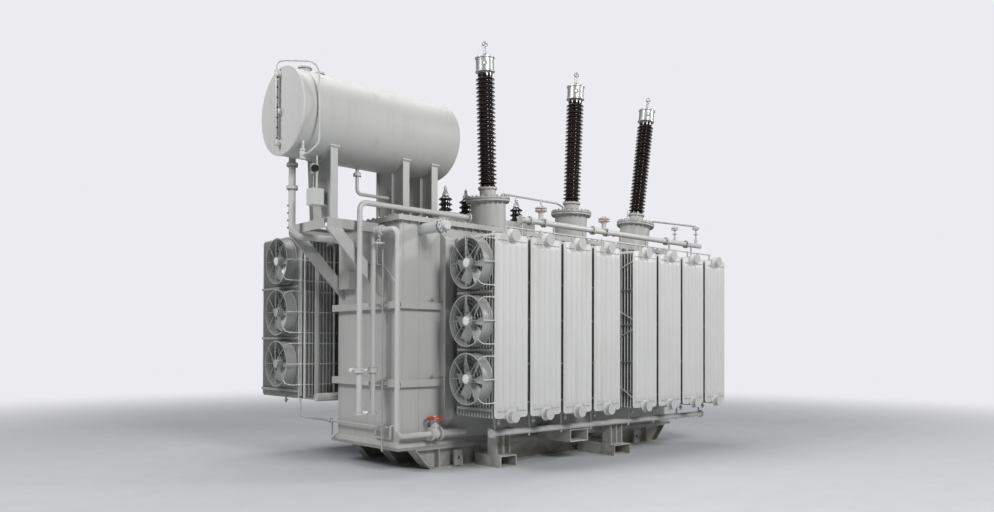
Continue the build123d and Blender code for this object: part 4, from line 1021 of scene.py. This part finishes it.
gasket = spun_wall([(250, 422), (294.5, 422), (294.5, 428), (250, 428)], 64)
placed(gasket, frames, "turret_gaskets", dark_rubber)
post = joined([wire([(-0.272, -0.040, 0.450), (-0.272, -0.040, 0.560)], 0.009),
               wire([(-0.272, -0.040, 0.556), (-0.258, -0.030, 0.600)], 0.006)])
placed(post, frames[2:], "turret_post", pipe_enamel)
breather_cap = turned([(10, 450), (10, 480), (24, 482), (26, 496), (14, 502)], 20)
placed(breather_cap, [frames[1] @ at(0.215, -0.120, 0.0)], "turret_vent_cap", silver_metal)
weld = spun_wall([(230, 0), (246, 0), (243, 8), (234, 14), (230, 16)], 64)
top_weld = spun_wall([(230, 384), (236, 386), (244, 397), (230, 397)], 64)
placed(joined([weld, top_weld]), frames, "turret_welds", grey_enamel)

# %% [markdown]
# ## Low-voltage bushings
# The four small bushings behind have three broad sheds each, a silver base flange and a bare
# conical terminal. They are turned like the tall ones.

# %% Turn the small bushings
LV_PLACES = [at(x, 0.315, 3.290) for x in (-1.110, -0.740, -0.245, 0.250)]
lv_rings = [(60, 14), (58, 26)]
for start in (26, 98, 170):
    lv_rings += [(58, start + 6), (86, start + 20), (95.5, start + 27), (95.5, start + 32), (88, start + 38),
                 (60, start + 56)]
lv_rings += [(44, 240), (44, 248)]
placed(turned(lv_rings, 40), LV_PLACES, "small_porcelains", brown_porcelain, replaces=["lv_bushings"])
lv_flange = turned([(88, 0), (90, 3), (90, 12), (86, 16), (64, 20)], 32)
lv_cone = turned([(43, 246), (46, 250), (45, 264), (36, 296), (20, 322), (13, 330), (12.5, 384),
                  (10, 388)], 28)
lv_nuts = copied(hex_bolt(38, 18), [at(0, 0, 0.330), at(0, 0, 0.352)])
placed(joined([lv_flange, lv_cone, lv_nuts]), LV_PLACES, "small_terminals", silver_metal,
       replaces=["lv_terminals"])

# %% [markdown]
# ## The gate valve and the handwheels
# The valve that shuts the oil pipe is a cast body between two flanges, with a bolted bonnet, a
# tapering neck and a rising stem. A handwheel is a thin rim on bent spokes with a dished hub, and
# the red one turns on the stem, so it rides on its own body.

# %% Cast the valve and make the wheels
VALVE = (-2.157, -0.795, 0.430)
VALVE_X, VALVE_Y, VALVE_Z = VALVE
WHEEL_HEIGHT = 0.616
body = turned([(83, -75), (83, -54), (50, -50), (60, -30), (66, 0), (60, 30), (50, 50), (83, 54),
               (83, 75)], 40)
body = copied(body, [facing(VALVE, TO_FAR_END)])
bonnet = turned([(54, 30), (46, 60), (40, 74), (52, 78), (53, 88), (53, 101), (50, 103), (30, 112),
                 (23, 130), (19, 150), (22, 154), (22, 164), (12, 168), (11, 214)], 32)
bonnet = copied(bonnet, [at(*VALVE)])
dressed(joined([body, bonnet]), "cast_gate_valve", pipe_enamel, "valve_paint", replaces=["gate_valve"])
valve_spots = around((VALVE_X - 0.054, VALVE_Y, VALVE_Z), TO_FAR_END, 0.068, 8, 0.5)
valve_spots += around((VALVE_X + 0.054, VALVE_Y, VALVE_Z), TO_NEAR_END, 0.068, 8, 0.5)
valve_spots += around((VALVE_X, VALVE_Y, VALVE_Z + 0.103), UP, 0.042, 6, 0, 0.7)
placed(hex_bolt(24, 16), valve_spots, "valve_bolts", silver_metal)


def handwheel(radius, rim, spokes):
    """A wheel on Z with its rim at 0: round rim, spokes that dip to the hub, and the hub."""
    clear_selection()
    bpy.ops.mesh.primitive_torus_add(major_radius=radius - rim, minor_radius=rim, major_segments=48,
                                     minor_segments=10)
    parts = [bpy.context.object]
    for number in range(spokes):
        degrees = 360 * number / spokes
        line = [polar(0.010, degrees, -0.002), polar(radius * 0.3, degrees, -0.003),
                polar(radius * 0.7, degrees, 0.001), polar(radius - rim, degrees, 0)]
        parts.append(wire(line, rim * 0.62, 6))
    thick = rim / MM
    hub = turned([(thick * 1.7, -10), (thick * 2.1, -6), (thick * 2.1, 6), (thick * 1.6, 11)], 24)
    return joined(parts + [hub])


wheel_place = at(VALVE_X, VALVE_Y, WHEEL_HEIGHT)
placed(handwheel(0.098, 0.012, 5), [wheel_place], "red_wheel", red_paint, body="red_handwheel",
       replaces=["red_handwheel"])
stem_collar = turned([(12, -50), (18, -46), (18, -24), (12, -18)], 16)
placed(stem_collar, [wheel_place], "red_stem_collar", red_paint)
placed(hex_bolt(30, 14), [at(VALVE_X, VALVE_Y, WHEEL_HEIGHT + 0.011)], "wheel_nut", white_cap,
       body="red_handwheel")
small_place = at(-2.7561, -0.50665, 2.660)
placed(handwheel(0.064, 0.007, 5), [small_place], "grey_wheel", valve_paint, body="small_handwheel",
       replaces=["small_handwheel"])

# %% [markdown]
# ## The level gauge
# A gauge tube stands in front of the flat end of the conservator, hidden in a guard with a screw
# every few centimetres. It joins the vessel through a round boss at its top and at its foot, and a
# float device sits half way up.

# %% Build the gauge in its guard
GAUGE_Y, GAUGE_LOW, GAUGE_HIGH = 0.048, 3.724, 4.591
GAUGE_MIDDLE = (GAUGE_LOW + GAUGE_HIGH) / 2
guard = slab((0.022, 0.034, GAUGE_HIGH - GAUGE_LOW), (-3.801, GAUGE_Y, GAUGE_MIDDLE), 0.006)
ends = [slab((0.050, 0.052, 0.070), (-3.783, GAUGE_Y, z), 0.010)
        for z in (GAUGE_LOW + 0.040, GAUGE_HIGH - 0.040)]
boss = turned([(40, 0), (40, 12), (34, 16), (34, 40)], 28)
bosses = copied(boss, [facing((-3.750, GAUGE_Y, z), TO_NEAR_END)
                       for z in (GAUGE_LOW + 0.045, GAUGE_HIGH - 0.045)])
float_case = copied(turned([(26, 0), (38, 6), (38, 30), (30, 36)], 28),
                    [facing((-3.7505, GAUGE_Y - 0.008, 4.118), TO_NEAR_END)])
lever = wire([(-3.760, 0.030, 4.060), (-3.764, -0.020, 4.090), (-3.764, -0.052, 4.130)], 0.004)
dressed(joined([guard] + ends + [bosses, float_case, lever]), "gauge_guard", pipe_enamel,
        replaces=["level_gauge"])
channel = slab((0.030, 0.020, 0.640), (-3.768, GAUGE_Y - 0.006, GAUGE_MIDDLE), 0.004)
# Painted shade: the channel between the guard and the end of the conservator takes the dark enamel.
dressed(channel, "gauge_channel", dark_drum_and_shade_enamel, "grey_enamel")
gauge_spots = along((-3.798, GAUGE_Y + 0.015, GAUGE_LOW + 0.04),
                    (-3.798, GAUGE_Y + 0.015, GAUGE_HIGH - 0.04), 11, (-0.2, 1, 0))
gauge_spots += along((-3.790, GAUGE_Y - 0.014, GAUGE_LOW + 0.09),
                     (-3.790, GAUGE_Y - 0.014, GAUGE_HIGH - 0.09), 7, OUTWARD)
placed(hex_bolt(20, 10), gauge_spots, "gauge_screws", dark_rubber)

# %% [markdown]
# ## Down pipe screws and the breather's elbow
# A row of screws stands along the oil pipe under the conservator, and the breather takes its air
# through a dark moulded elbow.

# %% Add the screws and the elbow
row = along((-3.486, 0.330, 3.120), (-3.486, 0.330, 2.860), 4, (-0.7, 0.7, 0))
placed(hex_bolt(20, 14), row, "down_pipe_screws", dark_rubber)
breather_elbow = turned([(20, -40), (34, -30), (44, -10), (46, 6), (40, 18), (26, 22)], 28)
placed(breather_elbow, [facing((-3.395, -0.130, 3.500), (-0.8, -0.6, 0))], "breather_elbow", dark_rubber)

# %% [markdown]
# ## Valves on the risers
# Two risers have a flange pair half way down, each with a small white sampling valve beside it, and
# one more at the foot. The thin bent pipe under the conservator ends in a bolted flange.

# %% Add the flange pairs and the sampling valves
RISERS = ((-2.960, -0.400), (-2.775, -0.400))
RISER_JOINT = 1.180
pair = turned([(34, -28), (58, -26), (60, -24), (60, -6), (56, -3), (56, 3), (60, 6), (60, 24), (58, 26),
               (34, 28)], 32)
pair_spots = [at(x, y, RISER_JOINT) for x, y in RISERS]
placed(pair, pair_spots, "riser_flange_pairs", pipe_enamel)
riser_bolts = []
for x, y in RISERS:
    riser_bolts += pair_of_circles((x, y, RISER_JOINT), UP, 0.047, 6, 0.026, 0.8)
    riser_bolts += around((x, y, 0.692), UP, 0.043, 6, 0, 0.7)
placed(hex_bolt(20, 12), riser_bolts, "riser_bolts", silver_metal)
RELIEF_END = (-2.250, 0.0, 3.310)
relief_flange = turned([(19, 0), (47, 0), (49, 2), (49, 12), (47, 14), (19, 14)], 32)
relief_bolts = copied(hex_bolt(18, 10), around((-2.264, 0.0, 3.310), TO_NEAR_END, 0.036, 6))
dressed(joined([copied(relief_flange, [facing(RELIEF_END, TO_NEAR_END)]), relief_bolts]), "relief_flange",
        pipe_enamel)
sampler = turned([(12, 20), (12, 80), (22, 84), (26, 92), (30, 110), (26, 128), (18, 134), (18, 146),
                  (26, 150), (26, 160), (18, 164)], 20)
sampler_cap = copied(turned([(16, 0), (18, 30), (24, 34), (24, 48), (14, 52)], 16),
                     [at(0, 0, 0.110) @ Matrix.Rotation(math.radians(90), 4, "Y")])
sampler = joined([sampler, sampler_cap])
sampler_spots = [facing((-2.960, -0.400, RISER_JOINT), (-0.1, 1, 0)),
                 facing((-2.775, -0.400, RISER_JOINT), (-0.5, 0.85, 0), 0, 0.66),
                 facing((-2.775, -0.400, 0.681), (-0.5, 0.85, 0), 0, 0.72)]
placed(sampler, sampler_spots, "sampling_valves", white_cap)

# %% [markdown]
# ## Valves on the collecting pipe
# Two columns on the collecting pipe carry a stop valve: a stout body, a flange pair and a bonnet.
# A short red plate on it shows whether it is open. The two thinner columns end in a flanged head.

# %% Stand the column valves on the pipe
column_valve = turned([(46, 30), (46, 44), (32, 52), (31, 104), (40, 126), (70, 138), (76, 142),
                       (76, 156), (70, 160), (50, 162), (50, 168), (74, 171), (76, 184), (40, 190),
                       (26, 206), (14, 214)], 28)
COLUMNS = (-0.786, 0.444)
column_spots = [at(x, GAS_PIPE_Y, GAS_PIPE_Z) for x in COLUMNS]
placed(column_valve, column_spots, "column_valves", pipe_enamel)
head = turned([(12, -22), (50, -20), (52, -4), (46, -2), (46, 2), (52, 4), (52, 18), (20, 20), (14, 40),
               (6, 44)], 28)
head_spots = [at(2.094, GAS_PIPE_Y, 3.236), at(2.648, GAS_PIPE_Y, 3.296)]
placed(head, head_spots, "column_heads", pipe_enamel)
column_bolts = []
for x in COLUMNS:
    column_bolts += around((x, GAS_PIPE_Y, GAS_PIPE_Z + 0.183), UP, 0.062, 6, 0, 0.8)
    column_bolts += around((x, GAS_PIPE_Y, GAS_PIPE_Z + 0.141), DOWN, 0.058, 6, 0, 0.8)
placed(hex_bolt(20, 12), column_bolts, "column_bolts", zinc_bolts)
plate = slab((0.034, 0.008, 0.016), (0, -0.073, 0.150), 0.003)
tab = slab((0.018, 0.018, 0.010), (0.010, -0.020, 0.207), 0.003)
marker_spots = [spot @ Matrix.Rotation(math.radians(-35), 4, "Z") for spot in column_spots]
placed(joined([plate, tab]), marker_spots, "red_valve_plates", red_paint)
low_tab = slab((0.046, 0.012, 0.010), (0, 0, 0), 0.003)
low_spots = [at(*place) for place in ((0.470, -1.246, 2.975), (0.640, -1.212, 2.985),
                                      (-2.275, -1.020, 2.942), (-1.130, -1.246, 3.050))]
placed(low_tab, low_spots, "red_vent_tabs", red_paint)

# %% [markdown]
# ## Drain cocks and vent plugs
# The lowest point of every bottom header has a drain cock and the highest point of every top
# header a plug, so that a radiator can be emptied and filled by itself.

# %% Hang the drain cocks and screw in the plugs
cock = turned([(14, -10), (14, -30), (24, -34), (26, -50), (18, -58), (12, -66), (12, -80)], 14)
cock_handle = slab((0.044, 0.008, 0.010), (0.014, 0, -0.046), 0.003)
cock = joined([cock, cock_handle])
plug = turned([(20, -6), (20, 12), (26, 14), (26, 26), (14, 32)], 12)
cock_spots, plug_spots = [], []
for starts, y, bottom in ((RIGHT_STARTS, -1.400, RIGHT_BOTTOM), (LEFT_STARTS, 1.760, LEFT_BOTTOM)):
    for x in starts:
        middle = x + SHEET_WIDTH / 2
        cock_spots.append(at(middle, y, bottom + HEADER_INSET - 0.040))
        plug_spots.append(at(middle, y + 0.10, bottom + SHEET_HEIGHT - HEADER_INSET + 0.050))
dressed(joined([copied(cock, cock_spots), copied(plug, plug_spots)]), "drain_cocks_and_plugs", pipe_enamel)

# %% [markdown]
# ## The inner side of the left bank
# Towards the tank the left bank shows the bare edges of deep panels, with dark gaps between them,
# a drain pipe, a flat post and an arched pipe. Fan support rods run along it.

# %% Stand the fins, the post and the pipes
fin = slab((0.014, 0.047, 2.040), (0, 0.0235, SHEET_HEIGHT / 2), 0.004, 1)
fin_spots = []
for x in LEFT_STARTS:
    for number in range(10):
        fin_spots.append(at(x + 0.026 + 0.052 * number, LEFT_FACE + 0.002, LEFT_BOTTOM))
placed(fin, fin_spots, "left_deep_fins", shaded_enamel)
post = slab((0.062, 0.012, 1.700), (-2.780, LEFT_FACE - 0.012, 1.640), 0.003)
arch = wire([(-2.640, 0.893, 2.770), (-2.590, 0.890, 2.800), (-2.545, 0.886, 2.790), (-2.524, 0.884, 2.740),
             (-2.524, 0.884, 0.860), (-2.560, 0.890, 0.810)], 0.015, 12)
feed_pipe = wire([(-2.955, 0.888, 2.640), (-2.955, 0.884, 2.600), (-2.955, 0.884, 0.800)], 0.014, 12)
dressed(joined([post, arch, feed_pipe]), "left_post_and_pipes", pipe_enamel)

# %% [markdown]
# ## Cover plates on the struts
# The two struts under the brackets are angles, each with a broad cover plate on the side that
# faces outwards. The plate is a long slab turned to the slope and cut level at its head and upright
# at the wall, with two bisecting planes.

# %% Cut the strut plates
STRUT_SLOPE = math.radians(45.2)
WALL_X, BRACKET_UNDERSIDE = -2.602, 2.813


def strut_plate(y):
    slope = at(-2.926, y, 2.476) @ Matrix.Rotation(STRUT_SLOPE, 4, "Y")
    plate = copied(slab((1.320, 0.010, 0.150), (0, 0, 0), 0.002), [slope])
    bpy.ops.object.mode_set(mode="EDIT")
    for place, direction in (((WALL_X, 0, 0), TO_FAR_END), ((0, 0, BRACKET_UNDERSIDE), UP)):
        cut(place, direction, use_fill=True, clear_outer=True)
    closed()
    return plate


dressed(joined([strut_plate(0.528), strut_plate(-0.326)]), "strut_cover_plates", grey_enamel)

# %% [markdown]
# ## The vent pipe of the conservator
# A thin pipe leaves the top of the gauge, goes over the rolled edge, bends down the side of the
# shell and ends at a small valve under it. It is one bar bent through a row of points, close
# together at each bend.

# %% Bend the vent pipe round the shell
vent_run = wire([(-3.792, 0.048, 4.588), (-3.792, 0.048, 4.640), (-3.786, 0.041, 4.668),
                 (-3.764, 0.020, 4.688), (-3.725, -0.025, 4.694), (-3.655, -0.440, 4.592),
                 (-3.637, -0.485, 4.572), (-3.606, -0.513, 4.535), (-3.583, -0.523, 4.490),
                 (-3.574, -0.527, 4.430), (-3.572, -0.527, 3.725), (-3.576, -0.520, 3.690),
                 (-3.592, -0.495, 3.655), (-3.640, -0.420, 3.590), (-3.648, -0.360, 3.584),
                 (-3.650, -0.310, 3.584)], 0.011, 12)
vent_valve = turned([(20, 3760), (20, 3650), (34, 3646), (36, 3632), (26, 3626), (32, 3610), (34, 3584),
                     (28, 3560), (36, 3552), (36, 3536), (14, 3530)], 24)
vent_valve = copied(vent_valve, [at(-3.650, -0.300, 0.0)])
dressed(joined([vent_run, vent_valve]), "vent_line", pipe_enamel, replaces=["vent_pipe"])

# %% [markdown]
# ## Seams and clips on the tank
# The tank walls are plates joined by upright welds. Small clips hold cables to the two bands.

# %% Weld the walls and add the clips
WALL_FOOT, WALL_HEAD = 0.292, 2.928
UPRIGHT_SEAMS = ((-2.306, 0.676, 0.0055, 6), (2.306, 0.676, 0.0055, 6),
                 (-2.538, 0.672, 0.010, 8), (2.538, 0.672, 0.010, 8))
seams = []
for side in (-1, 1):
    for x, y, radius, sides in UPRIGHT_SEAMS:
        seams.append(wire([(x, side * y, WALL_FOOT), (x, side * y, WALL_HEAD)], radius, sides))
    seams.append(wire([(side * 2.30, -0.660, 0.290), (side * 2.30, 0.660, 0.290)], 0.010, 6))
dressed(joined(seams), "tank_weld_seams", grey_enamel)
clip = joined([slab((0.060, 0.010, 0.016), (0, -0.006, 0), 0.003),
               slab((0.014, 0.014, 0.050), (0, -0.008, 0.006), 0.003)])
clip_spots = [at(x, -0.730, z) for x in (-2.160, -1.980) for z in (1.092, 2.008)]
placed(clip, clip_spots, "band_cable_clips", zinc_bolts)
